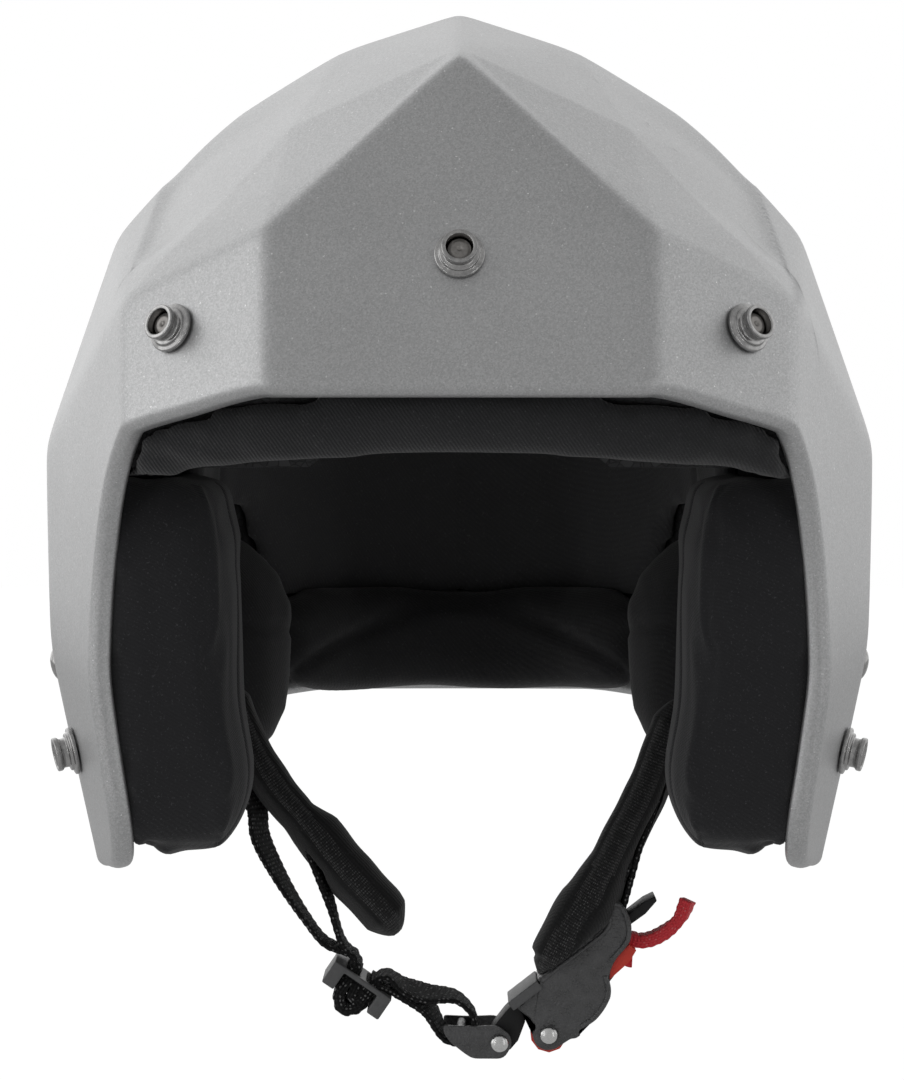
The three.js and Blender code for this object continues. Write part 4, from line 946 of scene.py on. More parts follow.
neck_roll = stuffed("neck_cushion_rear", "neck_roll", slack=1.0 * MM, voxel=4.2 * MM, cap=4 * MM, smoothing=4)
sewn(neck_roll, roll_rule, knit_neck)
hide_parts("neck_roll")
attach(neck_roll, "helmet")

# Crown lining
# The quilted comfort lining inside the dome: knit over thin foam, sewn in gores that meet at the crown.
# The crown's knit is set about three times lighter than the brow pad's. This is painted light standing in for the light
# that does not reach inside the dome.
knit_crown = knit_cloth("knit_crown", (0.070, 0.070, 0.0725), (0.090, 0.090, 0.093), (0.190, 0.190, 0.196))
lining_seams = [math.radians(a) for a in (-112, -62, 62, 112, 180, 0)]
lining_middle, centre_ring, ring_floor = 12 * MM, 18 * MM, 80 * MM


def lining_rule(places, ways):
    """The seams between the gores, the ring round their meeting place, and a slight puff."""
    x, y, z = places.T
    around, reach = np.arctan2(x, -(y - lining_middle)), np.hypot(x, y - lining_middle)
    total = np.zeros(len(places))
    for seam in lining_seams:
        off = np.abs((around - seam + math.pi) % (2 * math.pi) - math.pi) * reach
        total += groove(np.where(reach > 16 * MM, off, 1.0), 1.6 * MM, 1.1 * MM)
    ring_seam = groove(np.abs(reach - centre_ring), 1.6 * MM, 0.9 * MM)
    puff = 0.4 * MM * np.sin(z * 120) * np.sin(around * 9)
    return total + np.where(z > ring_floor, ring_seam, 0) + puff


lining = stuffed(
    "crown_padding", "crown_lining", slack=0.6 * MM, voxel=3.8 * MM, cap=3 * MM, smoothing=2, swell=False)
sewn(lining, lining_rule, knit_crown)
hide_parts("crown_lining")
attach(lining, "helmet")

# Chin strap webbing
# Woven polyester webbing, 19 mm wide, doubled on the left through a ladder slider and round the anchor's bar.
# On the right a single length is sewn round the anchor and round the buckle's bar.
strap_y = 8.0


def smooth_run(points, spacing):
    """Evenly spaced points on a curve through places (x, z) in the strap's plane, or (x, y, z), in millimetres."""
    places = np.array([(p[0], strap_y, p[1]) if len(p) == 2 else p for p in points], float) * MM
    fine = smooth_path(places, 40)
    run = run_along(fine)
    at = np.linspace(0, run[-1], max(4, int(round(run[-1] / spacing))) + 1)
    return places_on(fine, run, at), at


def band_ways(centres, turns):
    """The side and across ways of a band along a curve, twisted by turns in radians from lying square to +Y."""
    along = unit(np.gradient(centres, axis=0))
    square = np.array([0.0, 1.0, 0.0])
    side = unit(square - along * (along @ square)[:, None])
    across = np.cross(along, side)
    c, s = np.cos(turns)[:, None], np.sin(turns)[:, None]
    return side * c + across * s, across * c - side * s


def swept(name, centres, section, turns, material):
    """A closed band along a curve. section(i) gives the outline at place i as (side, across) in metres."""
    sides, acrosses = band_ways(centres, turns)
    run = run_along(centres)
    outlines = [np.array(section(i)) for i in range(len(centres))]
    vertices = [p for centre, outline, a_way, b_way in zip(centres, outlines, sides, acrosses)
                for p in centre + outline[:, :1] * a_way + outline[:, 1:2] * b_way]
    around_at = np.max([run_along(np.vstack([outline, outline[:1]])) for outline in outlines], axis=0)
    ring = len(outlines[0])
    faces, uvs = [], []
    for i in range(len(centres) - 1):
        for k in range(ring):
            j = (k + 1) % ring
            faces.append((i * ring + k, i * ring + j, (i + 1) * ring + j, (i + 1) * ring + k))
            uvs += [(run[a], around_at[b]) for a, b in ((i, k), (i, k + 1), (i + 1, k + 1), (i + 1, k))]
    last = (len(centres) - 1) * ring
    faces += [tuple(range(ring))[::-1], tuple(last + k for k in range(ring))]
    uvs += [(0, around_at[k]) for k in range(ring)][::-1] + [(run[-1], around_at[k]) for k in range(ring)]
    mesh = bpy.data.meshes.new(name)
    mesh.from_pydata([tuple(v) for v in vertices], [], faces)
    mesh.uv_layers.new(name="cloth").data.foreach_set("uv", [xy for uv in uvs for xy in uv])
    work = bmesh.new()
    work.from_mesh(mesh)
    if work.calc_volume(signed=True) < 0:
        bmesh.ops.reverse_faces(work, faces=work.faces)
    bmesh.ops.triangulate(work, faces=[f for f in work.faces if len(f.verts) > 4])
    work.to_mesh(mesh)
    work.free()
    mesh.shade_smooth()
    mesh.set_sharp_from_angle(angle=math.radians(60))
    mesh.materials.append(material)
    return linked(name, mesh)


def webbing_section(half, thick, pick, waver, ribs=0.12):
    """The outline of woven webbing at each place: rounded edges that step in and out with each pick."""
    spots = [(1, 0), (0.985, 0.75), (0.93, 1), (0.5, 1), (0, 1.0), (-0.5, 1), (-0.93, 1), (-0.985, 0.75)]

    def at(i):
        edge = half * (1 - waver + waver * abs(math.sin(i * math.pi / pick)))
        swell = thick / 2 * (1 + ribs * math.sin(i * math.pi / pick + 0.8))
        upper = [(a * edge, b * swell) for a, b in spots]
        return upper + [(-a, -b) for a, b in upper]
    return at


def round_section(radius, sides):
    """The outline of a round wire or ridge, the same at each place."""
    angles = np.linspace(0, 2 * math.pi, sides, endpoint=False)
    return lambda i: [(radius * math.cos(a), radius * math.sin(a)) for a in angles]


def joined(name, *pieces):
    """Several meshes of one finish as one piece."""
    work = bmesh.new()
    for piece in pieces:
        work.from_mesh(piece.data)
    mesh = bpy.data.meshes.new(name)
    work.to_mesh(mesh)
    work.free()
    for material in pieces[0].data.materials:
        mesh.materials.append(material)
    for piece in pieces:
        bpy.data.objects.remove(piece, do_unlink=True)
    return linked(name, mesh)


def weave_face():
    """Woven rows on a UV in metres: staggered yarn floats with a height, a tone painted lighter on each float's crest
    as painted shade, and painted glints on some floats.
    """
    tree, given = node_group("weave_face", [
        ("Vector", "Vector"), ("Pick", "Float", 1.3 * MM), ("End", "Float", 1.1 * MM), ("Stagger", "Float", 0.5),
        ("Dot Share", "Float", 0.4), ("Dark", "Color"), ("Light", "Color"), ("Dot", "Color")],
        [("Color", "Color"), ("Height", "Float")])

    def result(operation, *values):
        return maths(tree, operation, *values)

    place = node(tree, "ShaderNodeSeparateXYZ", {0: given["Vector"]}).outputs
    across = result("DIVIDE", place["Y"], given["End"])
    lane = result("FLOOR", across)
    shifted = result("MULTIPLY_ADD", lane, given["Stagger"], result("DIVIDE", place["X"], given["Pick"]))
    off_a, off_b = (result("SUBTRACT", result("FRACT", value), 0.5) for value in (shifted, across))
    radius = result("SQRT", result("ADD", result("MULTIPLY", off_a, off_a), result("MULTIPLY", off_b, off_b)))
    hump = result("SMOOTH_MIN", result("SUBTRACT", 1.0, result("MULTIPLY", radius, 1.9)), 0.9, 0.1)
    # Floats picked at random get a painted glint on their crest, in the last colour given.
    cell = node(tree, "ShaderNodeCombineXYZ", {"X": lane, "Y": result("FLOOR", shifted)}).outputs[0]
    chance = node(tree, "ShaderNodeTexWhiteNoise", {"Vector": cell}, noise_dimensions="2D").outputs["Value"]
    chosen = result("LESS_THAN", chance, given["Dot Share"])
    dot = result("MULTIPLY", chosen, to_range(tree, radius, 0.34, 0.12))
    # Each float goes from the dark tone at its edges to the light one on its crest: painted shade of its rounded shape.
    tone = blended(tree, result("MAXIMUM", hump, 0.0), given["Dark"], given["Light"])
    node(tree, "NodeGroupOutput", {"Color": blended(tree, dot, tone, given["Dot"]), "Height": hump})
    return tree


weave_tree = weave_face()


def woven_cloth(name, dark, light, dot, pick=1.3 * MM, end=1.1 * MM, stagger=0.5, glint_share=0.35, bump=1.0,
                depth=0.4 * MM, roughness=0.78, specular=0.3, sheen=0.15):
    """Cloth with rows of woven yarn that follow the piece; dot is the colour of painted glints on some floats."""
    made, tree = new_material(name)
    place = node(tree, "ShaderNodeUVMap", uv_map="cloth").outputs["UV"]
    face = node(tree, "ShaderNodeGroup", {
        "Vector": place, "Pick": pick, "End": end, "Stagger": stagger, "Dot Share": glint_share,
        "Dark": (*dark, 1), "Light": (*light, 1), "Dot": (*dot, 1)}, node_tree=weave_tree).outputs
    principled(tree, {
        "Roughness": roughness, "Specular IOR Level": specular, "Sheen Weight": sheen, "Sheen Roughness": 0.5,
        "Base Color": face["Color"], "Normal": raised(tree, face["Height"], bump, depth)})
    return made


# The grey given last is painted glints on some floats; the lighter tone on each float's crest is painted shade.
black_webbing = woven_cloth(
    "black_webbing", (0.010, 0.010, 0.0105), (0.038, 0.038, 0.039), grey(0.32), stagger=0.08, glint_share=0.34,
    depth=0.6 * MM, specular=0.2, sheen=0.04)

legs_points = [
    (-32.9, -113.9), (-30.2, -109.9), (-35.3, -103.0), (-38.7, -92.1), (-42.6, -80.0), (-46.1, -68.8), (-53.0, -56.5),
    (-61.0, -43.0), (-70.0, -29.0), (-80.0, -22.0), (-92.0, -22.5), (-102.9, -26.4), (-108.9, -27.7), (-111.7, -29.6),
    (-111.1, -33.7), (-110.2, -36.3), (-108.4, -37.3), (-105.4, -35.9), (-88.0, -38.0), (-75.0, -45.0), (-65.5, -53.0),
    (-61.2, -62.2), (-60.3, -70.5), (-55.1, -81.7), (-46.5, -95.5), (-40.4, -103.0), (-31.2, -107.3), (-34.2, -113.0)]
fold_points = [
    (-30.8, -109.5), (-33.5, -113.5), (-36.1, -117.8), (-35.0, -122.1), (-30.5, -121.6), (-27.4, -117.6),
    (-24.7, -113.7)]
tucked_points = [(-29.6, -113.2), (-31.4, -116.6), (-32.0, -118.9), (-30.2, -119.3), (-28.4, -116.8), (-26.6, -114.2)]
onward_points = [
    (-26.3, -114.5), (-22.1, -112.7), (-16.8, -116.3), (-10.1, -118.6), (-0.5, -119.9), (4.5, -125.9), (3.0, -132.1),
    (-3.7, -131.5), (-10.1, -122.2), (-19.1, -117.7), (-25.0, -115.4)]


def bump_turn(at, total, start, peak, end, degrees):
    """A twist that grows from start to peak and dies away by end, as shares of the length."""
    share = at / total
    return np.radians(degrees) * eased(np.minimum((share - start) / (peak - start), (end - share) / (end - peak)))


def webbing_run(name, points, twists=(), half=9.5 * MM, thick=1.6 * MM):
    """A length of the strap's webbing through places in its plane, with its twists."""
    pick_spacing, pick_steps, waver = 0.65 * MM, 2, 0.05
    centres, at = smooth_run(points, pick_spacing)
    turns = sum((bump_turn(at, at[-1], *twist) for twist in twists), np.zeros(len(at)))
    return swept(name, centres, webbing_section(half, thick, pick_steps, waver), turns, black_webbing)


left_run = joined(
    "left_strap_webbing",
    webbing_run("legs", legs_points, [(0.06, 0.20, 0.38, -12), (0.60, 0.76, 0.93, 13)]),
    webbing_run("fold", fold_points, half=9.4 * MM, thick=3.6 * MM),
    webbing_run("tucked_end", tucked_points, half=9.0 * MM, thick=3.6 * MM),
    webbing_run("onward", onward_points, [(0.05, 0.2, 0.42, 9), (0.55, 0.8, 0.97, -9)]))
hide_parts("left_webbing")
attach(left_run, "left_strap")

right_points = [
    (95.5, -30.0), (105.4, -35.9), (108.4, -37.3), (110.2, -36.3), (111.1, -33.7), (111.7, -29.6), (108.9, -27.7),
    (102.9, -26.4), (88.0, -25.0), (78.0, -25.5), (70.5, -31.0), (66.5, -39.5), (60.0, -57.5), (54.2, -74.0),
    (51.8, -82.6), (49.1, -92.2), (48.4, -93.9), (46.7, -94.7), (44.9, -94.4), (43.8, -92.9), (43.9, -91.0),
    (50.1, -81.5), (51.8, -74.2)]
right_run = webbing_run("right_strap_webbing", right_points)
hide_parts("right_webbing")
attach(right_run, "right_strap")

# Strap sleeves
# Padded sleeves over the webbing: a spacer mesh strip along the front edge, knit-covered foam on both faces.
# The left one hangs free at its lower end; the right one widens to a chin pad with a seam across its foot.
buckle_corner = Vector((17.7, 8.0, -122.1)) * MM
buckle_u, buckle_v = Vector((0.7923, 0, 0.6101)), Vector((-0.6101, 0, 0.7923))


def in_buckle(u, v, y=0.0):
    """A place in the buckle: along the tongue, up towards the chin, and across, in millimetres."""
    return buckle_corner + (buckle_u * u + buckle_v * v) * MM + Vector((0, y * MM, 0))


def buckle_place(spot):
    """How far a place is along the tongue and up towards the chin, in millimetres."""
    return (spot - buckle_corner).dot(buckle_u) / MM, (spot - buckle_corner).dot(buckle_v) / MM


# The grey given last is painted glints on some floats; the lighter tone on each float's crest is painted shade.
spacer_mesh = woven_cloth(
    "spacer_mesh", (0.010, 0.010, 0.0105), (0.034, 0.034, 0.035), grey(0.15), pick=0.9 * MM, end=0.7 * MM,
    stagger=1.0, glint_share=0.4, roughness=0.7)
knit_sleeve = knit_cloth(
    "knit_sleeve", (0.008, 0.008, 0.0085), (0.0165, 0.0165, 0.017), (0.085, 0.085, 0.088),
    ribs=2100.0, ends=1700.0, rib_depth=0.5)


def cushion_section(half, thick, band, bulge):
    """A padded strap's outline: rounded faces, with the mesh strip between two seams on the front edge."""
    power, count, seam_depth, seam_width = 2.5, 56, 0.8 * MM, 0.7 * MM
    spots = []
    for k in range(count):
        angle = 2 * math.pi * k / count
        c, s = math.cos(angle), math.sin(angle)
        round_by = (abs(c) ** power + abs(s) ** power) ** (-1 / power)
        a, b = c * round_by * half, s * round_by * thick
        if b > 0:
            b *= 1 + bulge
        if a < -0.55 * half:
            dip = seam_depth * math.exp(-((abs(b) - band) / seam_width) ** 2)
            kept = 1 - dip / (math.hypot(a, b) + 1e-9)
            a, b = a * kept, b * kept
        spots.append((a, b))
    return spots


def sleeve(name, points, halfs, thicks, twist, band, bulges, end_reach, foot_seam=None):
    """A padded sleeve along the strap; its sizes are given as shares of its length and the values there."""
    wrinkle, seam_pinch, mesh_share = 0.03, 0.12, 0.6
    centres, at = smooth_run(points, 0.9 * MM)
    share = at / at[-1]
    rise = np.sqrt(np.clip((np.minimum(share, 1 - share) + 0.004) / end_reach, 0, 1))
    foot = 0.0 if foot_seam is None else seam_pinch * np.exp(-((share - foot_seam) / 0.010) ** 2)
    folds = 1 + wrinkle * np.sin(share * 31) * np.sin(share * 13 + 1)
    half = np.interp(share, *halfs) * rise * (1 - foot * 0.25)
    thick = np.interp(share, *thicks) * rise * folds * (1 - foot)
    bulge, turns = np.interp(share, *bulges), np.radians(np.interp(share, *twist))
    bands = np.minimum(band, mesh_share * thick)
    made = swept(
        name, centres, lambda i: cushion_section(half[i], thick[i], bands[i], bulge[i]), turns, knit_sleeve)
    made.data.materials.append(spacer_mesh)
    sides, acrosses = band_ways(centres, turns)
    for polygon in made.data.polygons:
        spot = np.array(polygon.center)
        i = int(np.argmin(((centres - spot) ** 2).sum(1)))
        a, b = (spot - centres[i]) @ sides[i], (spot - centres[i]) @ acrosses[i]
        if a < -0.5 * half[i] and abs(b) < bands[i] * 1.02:
            polygon.material_index = 1
    return made


def cleared(piece, points):
    """Cuts the webbing's way out of a padded sleeve."""
    room_half, room_thick = 10.1 * MM, 1.4 * MM
    centres, at = smooth_run(points, 2.5 * MM)
    outline = [(a * room_half, b * room_thick) for a, b in ((-1, -1), (1, -1), (1, 1), (-1, 1))]
    cutter = swept("webbing_room", centres, lambda i: outline, np.zeros(len(at)), knit_sleeve)
    cut = piece.modifiers.new("cut", "BOOLEAN")
    cut.operation, cut.solver, cut.object = "DIFFERENCE", "EXACT", cutter
    plain_mesh(piece)
    bpy.data.objects.remove(cutter, do_unlink=True)


left_sleeve = sleeve(
    "left_strap_sleeve",
    [(-71.2, -24.8), (-63.4, -43.8), (-55.6, -56.7), (-46.9, -67.1), (-35.6, -81.5), (-25.0, -92.9), (-18.8, -100.2)],
    halfs=((0, 1), (0.0148, 0.0150)), thicks=((0, 0.35, 0.50, 0.56, 1), (0.0056, 0.0058, 0.0054, 0.0062, 0.0062)),
    twist=((0, 1), (-9, -10)), band=2.4 * MM, bulges=((0, 0.5, 0.58, 0.9, 1), (0.0, 0.0, 0.40, 0.35, 0.1)),
    end_reach=0.07)
cleared(left_sleeve, legs_points[2:10])
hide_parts("left_sleeve")
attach(left_sleeve, "left_strap")

right_sleeve = sleeve(
    "right_strap_sleeve",
    [(68.0, -29.5), (63.8, -39.0), (56.8, -57.1), (49.6, -71.5), (41.6, -88.0), (33.6, -101.5), (27.0, -115.2)],
    halfs=((0, 0.45, 0.75, 1), (0.0150, 0.0150, 0.0180, 0.0180)),
    thicks=((0, 0.46, 0.56, 0.72, 1), (0.0060, 0.0062, 0.0066, 0.0092, 0.0088)),
    twist=((0, 1), (10, 10)), band=3.4 * MM, bulges=((0, 1), (0.0, 0.0)), end_reach=0.09, foot_seam=0.93)
# The pad's foot is pressed up where it rests on the buckle's cap and walls
for vertex in right_sleeve.data.vertices:
    along_buckle, rise = buckle_place(vertex.co)
    lowest = float(np.interp(along_buckle, (6, 11), (3.0, 4.2)))
    if -8 < along_buckle < 44 and rise < lowest:
        vertex.co += buckle_v * (lowest - rise) * MM
cleared(right_sleeve, right_points[9:15] + [(49.1, -92.2), (45.0, -100.0)])
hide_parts("right_sleeve")
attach(right_sleeve, "right_strap")

# Strap anchors
# On each side a domed steel rivet goes through the shell and a spacer into a slotted steel tab.
# The strap's webbing runs round the tab's lower bar.


def refined(name, source, width, material, segments=2):
    """A CAD part's own shape with its edges broken, as pressed or moulded parts have them."""
    flat_join, bevel_from, sharp_from = (math.radians(a) for a in (4, 30, 35))
    piece = merged_copy(name, source)
    work = bmesh.new()
    work.from_mesh(piece.data)
    bmesh.ops.dissolve_limit(work, angle_limit=flat_join, verts=work.verts, edges=work.edges)
    bmesh.ops.dissolve_degenerate(work, edges=work.edges, dist=2e-5)
    work.to_mesh(piece.data)
    work.free()
    broken = piece.modifiers.new("broken_edges", "BEVEL")
    broken.width, broken.segments = width, segments
    broken.limit_method, broken.angle_limit = "ANGLE", bevel_from
    broken.use_clamp_overlap = True
    plain_mesh(piece)
    piece.data.shade_smooth()
    piece.data.set_sharp_from_angle(angle=sharp_from)
    piece.data.materials.clear()
    piece.data.materials.append(material)
    return piece


for side in ("left", "right"):
    base, way = node_axis(f"anchor_rivet_{side}", shell_centre)
    top = node_height(f"anchor_rivet_{side}", base, way)
    foot, shaft, head, tail = 4.4 * MM, 2.4 * MM, 5.0 * MM, 1.2 * MM
    dome_base = top - 2.9 * MM
    under_head, dome_start = dome_base + 0.3 * MM, dome_base + 0.5 * MM
    profile = rounded([
        (0.0, 0.0), (foot, 0.0), (foot, tail), (shaft, tail), (shaft, under_head), (head, under_head)], 0.3 * MM)
    profile += [
        (head * math.cos(t), dome_start + (top - dome_start) * math.sin(t)) for t in np.linspace(0, math.pi / 2, 9)]
    profile[-1] = (0.0, profile[-1][1])
    pattern = turned(f"rivet_pattern_{side}", profile, 48, dark_nickel)
    rivet = set_on_points(f"anchor_dome_{side}", pattern, [base], [way], dark_nickel)
    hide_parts(f"anchor_rivet_{side}")
    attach(rivet, "helmet")
    finish_node(f"anchor_spacer_{side}", bright_steel)
    tab = refined(f"anchor_plate_{side}", f"anchor_tab_{side}", 0.3 * MM, bright_steel)
    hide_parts(f"anchor_tab_{side}")
    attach(tab, "left_anchor" if side == "left" else "right_strap")

# Ladder slider
# A moulded grey polymer slider with two slots, through which the left webbing is doubled and tucked.
grey_polymer = metal(
    "grey_polymer", (0.105, 0.106, 0.108), (0.145, 0.146, 0.148), 0.42, 0.58, 700.0, metallic=0.0,
    pits=0.25, pit_scale=3500.0, specular=0.45)
slider_piece = refined("ladder_slider", "strap_slider", 0.5 * MM, grey_polymer, segments=3)
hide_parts("strap_slider")
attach(slider_piece, "left_strap")

# Tongue and its bracket
# Pressed steel under black powder coat: two cheeks on the webbing's bar, riveted to a flat toothed tongue.
black_coat = metal(
    "black_coat", (0.070, 0.0705, 0.0715), (0.115, 0.1155, 0.118), 0.24, 0.42, 260.0, metallic=0.25,
    pits=0.8, pit_scale=1300.0, pit_depth=0.6 * MM, specular=0.55)
black_oxide = metal(
    "black_oxide", (0.012, 0.012, 0.012), (0.022, 0.022, 0.023), 0.45, 0.60, 500.0, metallic=0.0, specular=0.25)


def ringed_solid(rings):
    """A closed solid through rings of places in the buckle, flat at both ends."""
    work = bmesh.new()
    rings = [[work.verts.new(in_buckle(*place)) for place in ring] for ring in rings]
    count = len(rings[0])
    for one, two in zip(rings[:-1], rings[1:]):
        for i in range(count):
            j = (i + 1) % count
            work.faces.new((one[i], one[j], two[j], two[i]))
    caps = [work.faces.new(rings[0][::-1]), work.faces.new(rings[-1])]
    bmesh.ops.triangulate(work, faces=caps)
    return work


def pressed_plate(outline, low, high, edge=0.28, radius=2.2):
    """A plate cut to an outline in the buckle's frame, with its corners rounded and its edges broken."""
    corners = np.array(rounded(outline, radius, steps=4, most=0.46, closed=True))
    corners = corners[np.linalg.norm(corners - np.roll(corners, 1, axis=0), axis=1) > 0.04]
    ahead, behind = np.roll(corners, -1, axis=0), np.roll(corners, 1, axis=0)
    turn = np.sign(np.sum(corners[:, 0] * ahead[:, 1] - corners[:, 1] * ahead[:, 0]))
    along = ahead - behind
    outwards = unit(np.stack([along[:, 1], -along[:, 0]], axis=1) * turn)
    steps = [(0, 1), (0.3, 0.3), (1, 0)]
    levels = [(low + up * edge, pulled * edge) for up, pulled in steps]
    levels += [(high - up * edge, pulled * edge) for up, pulled in steps[::-1]]
    return ringed_solid([[(u, v, away) for u, v in corners - outwards * pulled] for away, pulled in levels])


def cross_bar(u, v, radius, half):
    """A round bar across the buckle, its ends broken."""
    angles = np.linspace(0, 2 * math.pi, 28, endpoint=False)
    levels = ((-half, radius * 0.8), (-half + 0.2, radius), (half - 0.2, radius), (half, radius * 0.8))
    return ringed_solid([[(u + r * math.cos(a), v + r * math.sin(a), y) for a in angles] for y, r in levels])


def assembled(name, parts, material):
    """Several closed solids as one piece."""
    mesh = bpy.data.meshes.new(name)
    whole = bmesh.new()
    for part in parts:
        step_mesh = bpy.data.meshes.new("part")
        part.to_mesh(step_mesh)
        part.free()
        whole.from_mesh(step_mesh)
        bpy.data.meshes.remove(step_mesh)
    bmesh.ops.recalc_face_normals(whole, faces=whole.faces)
    whole.to_mesh(mesh)
    whole.free()
    mesh.shade_smooth()
    mesh.set_sharp_from_angle(angle=math.radians(38))
    mesh.materials.append(material)
    return linked(name, mesh)


def scaled_shares(shares, reach=50.0):
    """Places given as shares of the buckle's length, in millimetres."""
    return [(u * reach, v * reach) for u, v in shares]


bracket_outline = scaled_shares([
    (-0.414, 0.206), (-0.288, 0.1), (-0.152, 0.004), (-0.13, -0.09), (-0.162, -0.142),
    (-0.246, -0.178), (-0.398, -0.06), (-0.42, 0.01), (-0.442, 0.102), (-0.44, 0.164)])
bracket_piece = assembled("tongue_cheeks", [
    pressed_plate(bracket_outline, -11.6, -10.4), pressed_plate(bracket_outline, 10.4, 11.6),
    cross_bar(-17.5, 5.3, 1.4, 11.5)], black_coat)
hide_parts("tongue_bracket")
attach(bracket_piece, "tongue")
tongue_piece = refined("toothed_tongue", "tongue", 0.28 * MM, black_oxide)
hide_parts("tongue")
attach(tongue_piece, "tongue")

# Pins
# Domed steel pins peened over at both ends: one holds the tongue in its bracket, one carries the release lever.


def domed_pin(name, source, body):
    """A pin along Y with a domed head at both ends, in its CAD node's place."""
    low, high = (np.array(c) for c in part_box(source))
    half = (high[1] - low[1]) / 2
    head, shaft, dome, rim = 2.7 * MM, 1.6 * MM, 1.6 * MM, 0.25 * MM
    angles, dome_start = np.linspace(0, math.pi / 2, 10), half - dome + rim
    end = [(head * math.cos(t), dome_start + (dome - rim) * math.sin(t)) for t in angles]
    upper = [(shaft, half - dome), (head - 0.2 * MM, half - dome), (head, half - dome + rim * 0.6)]
    upper += end[1:-1] + [(0.0, half)]
    lower = [(r, -h) for r, h in upper][::-1]
    pattern = turned(f"{name}_pattern", lower + upper, 48, bright_steel)
    pin = set_on_points(name, pattern, [(low + high) / 2], [(0, 1, 0)], bright_steel)
    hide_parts(source)
    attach(pin, body)


domed_pin("tongue_pin", "tongue_rivet", "tongue")
domed_pin("lever_pivot", "lever_pin", "right_strap")

# Buckle body and guide
# A folded steel housing with two side walls under black powder coat, and a grey moulded cap over its mouth.
wall_outline = scaled_shares([
    (-0.004, 0.046), (0.198, 0.046), (0.198, 0.076), (0.7, 0.076), (0.76, 0.164), (0.82, 0.178),
    (0.878, 0.152), (0.872, 0.052), (0.85, -0.004), (0.792, -0.08), (0.624, -0.122), (0.548, -0.17),
    (0.518, -0.238), (0.476, -0.284), (0.34, -0.33), (0.21, -0.324), (0.2, -0.348), (0.164, -0.344),
    (0.142, -0.328), (0.09, -0.324), (0.02, -0.32), (-0.032, -0.28), (-0.048, -0.228), (-0.024, -0.16),
    (0.018, -0.144), (0.024, -0.086), (0, 0)])
upper_bead = scaled_shares([
    (0.215, 0.054), (0.34, 0.055), (0.50, 0.053), (0.66, 0.052), (0.735, 0.068), (0.780, 0.116), (0.826, 0.153),
    (0.857, 0.133), (0.852, 0.058), (0.829, 0.002), (0.775, -0.064), (0.612, -0.104)])
lower_bead = scaled_shares([(0.532, -0.158), (0.502, -0.226), (0.458, -0.270), (0.338, -0.312), (0.235, -0.308)])
top_plate = [(10, 2.6), (34.5, 2.6), (34.5, 3.8), (10, 3.8)]


def bead(places, away):
    """A rounded ridge along a line of places in the buckle's frame, half sunk in the plate."""
    line, at = smooth_run([tuple(in_buckle(u, v, away) / MM) for u, v in places], 0.6 * MM)
    run = swept("bead", line, round_section(0.85 * MM, 12), np.zeros(len(at)), black_coat)
    work = bmesh.new()
    work.from_mesh(run.data)
    bpy.data.objects.remove(run, do_unlink=True)
    return work


housing = assembled("buckle_housing", [
    pressed_plate(wall_outline, -10.75, -9.8), pressed_plate(wall_outline, 9.8, 10.75),
    pressed_plate(top_plate, -10.9, 10.9, edge=0.2, radius=0.4), cross_bar(41, 6.3, 1.3, 10.6),
    *[bead(line, away) for line in (upper_bead, lower_bead) for away in (-10.45, 10.45)]], black_coat)
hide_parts("buckle_body")
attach(housing, "right_strap")
cap = refined("mouth_cap", "buckle_guide", 0.6 * MM, grey_polymer, segments=3)
# What hangs below this height on the cap is drawn halfway up to it
cap_floor = 1.6
for vertex in cap.data.vertices:
    _, rise = buckle_place(vertex.co)
    if rise < cap_floor:
        vertex.co += buckle_v * 0.5 * (cap_floor - rise) * MM
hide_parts("buckle_guide")
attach(cap, "right_strap")

# Release lever and its spring
# A red moulded lever on the pin, its pawl held in the tongue's teeth by a small steel torsion spring.
red_polymer = metal(
    "red_polymer", (0.78, 0.040, 0.026), (0.88, 0.075, 0.040), 0.34, 0.48, 500.0, metallic=0.0, pits=0.15)
lever_piece = refined("red_lever", "release_lever", 0.5 * MM, red_polymer, segments=3)
finer = lever_piece.modifiers.new("finer", "SUBSURF")
finer.subdivision_type = "SIMPLE"
finer.levels = finer.render_levels = 2
plain_mesh(lever_piece)
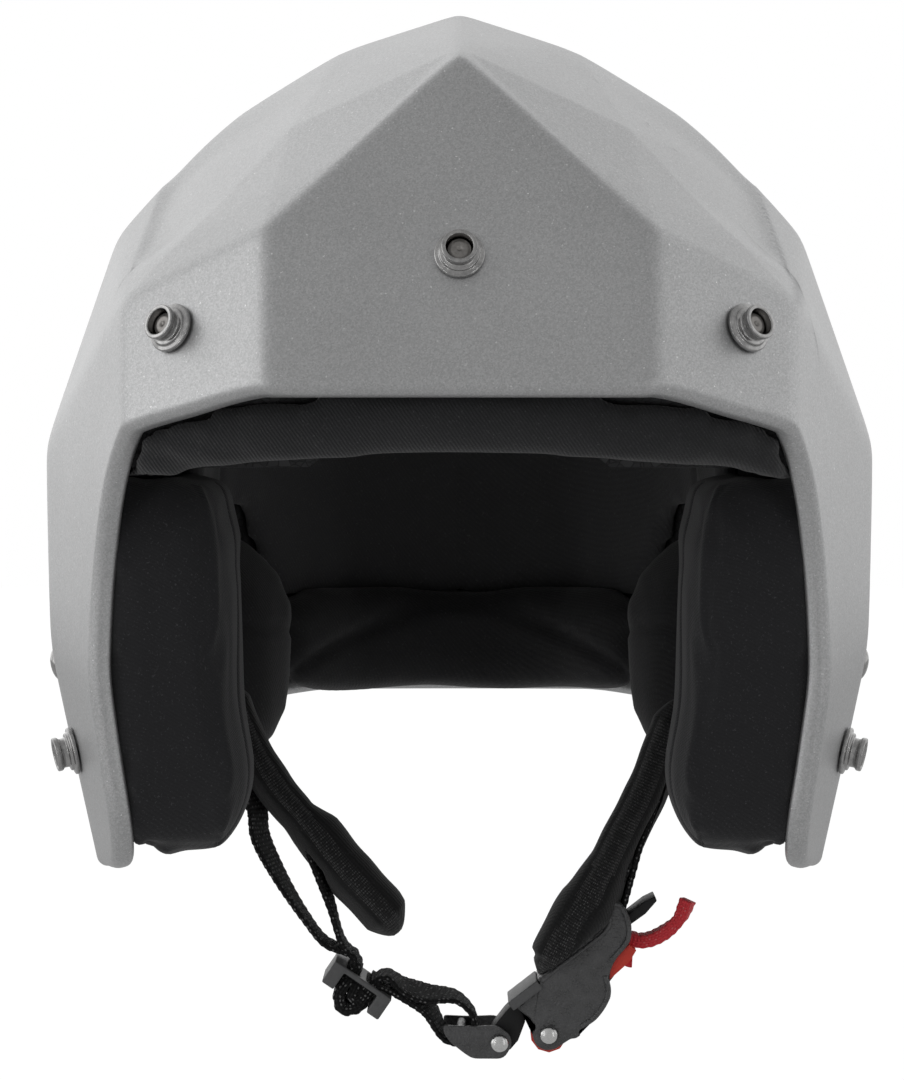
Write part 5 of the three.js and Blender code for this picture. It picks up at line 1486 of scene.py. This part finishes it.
# Its underside is cut back to a curve (along the tongue, up) that leaves a slim arm
arm_along, arm_lowest = (20, 24, 28, 37.3, 44), (-30, -15, -11.8, -8.8, -8.2)
for vertex in lever_piece.data.vertices:
    along_buckle, rise = buckle_place(vertex.co)
    lowest = float(np.interp(along_buckle, arm_along, arm_lowest))
    if rise < lowest:
        vertex.co += buckle_v * (lowest - rise) * MM
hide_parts("release_lever")
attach(lever_piece, "lever")

coil_radius, coil_length, coil_turns = 3.4, 4.0, 3
coil_angles = np.linspace(0, 2 * math.pi * coil_turns, 150)
spring_centres = np.array([
    in_buckle(2.56 + coil_radius * math.cos(t), -11.4 + coil_radius * math.sin(t),
              4.6 + coil_length * t / coil_angles[-1]) for t in coil_angles])
spring_piece = swept("torsion_spring", spring_centres, round_section(0.4 * MM, 10), np.zeros(150), bright_steel)
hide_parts("lever_spring")
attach(spring_piece, "right_strap")

# Pull tab
# A red woven ribbon looped through the lever's slot, with a fuzzy serrated edge and a free end that curls up.
# The pale red given last is painted glints on some floats; the lighter tone on each float's crest is painted shade.
red_ribbon = woven_cloth(
    "red_ribbon", (0.86, 0.055, 0.072), (0.95, 0.100, 0.115), (0.95, 0.24, 0.25), pick=1.2 * MM, end=0.8 * MM,
    glint_share=0.2, bump=0.8, depth=0.2 * MM, roughness=0.85)
pull_places = scaled_shares([
    (1.2, -0.124), (1.096, -0.18), (0.996, -0.192), (0.878, -0.172), (0.812, -0.132), (0.784, -0.092),
    (0.74, -0.076), (0.696, -0.08), (0.686, -0.13), (0.692, -0.180), (0.712, -0.200)])
pull_centres, pull_at = smooth_run([tuple(in_buckle(u, v) / MM) for u, v in pull_places], 0.4 * MM)
pull_piece = swept(
    "pull_ribbon", pull_centres, webbing_section(4.6 * MM, 3.8 * MM, 3, 0.06, 0.05),
    bump_turn(pull_at, pull_at[-1], -0.45, 0.0, 0.4, 14), red_ribbon)
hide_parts("pull_tab")
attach(pull_piece, "lever")
size = {"cad_box": [list(map(float, c)) for c in cad_box], "visual_box": [list(map(float, c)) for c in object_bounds()]}
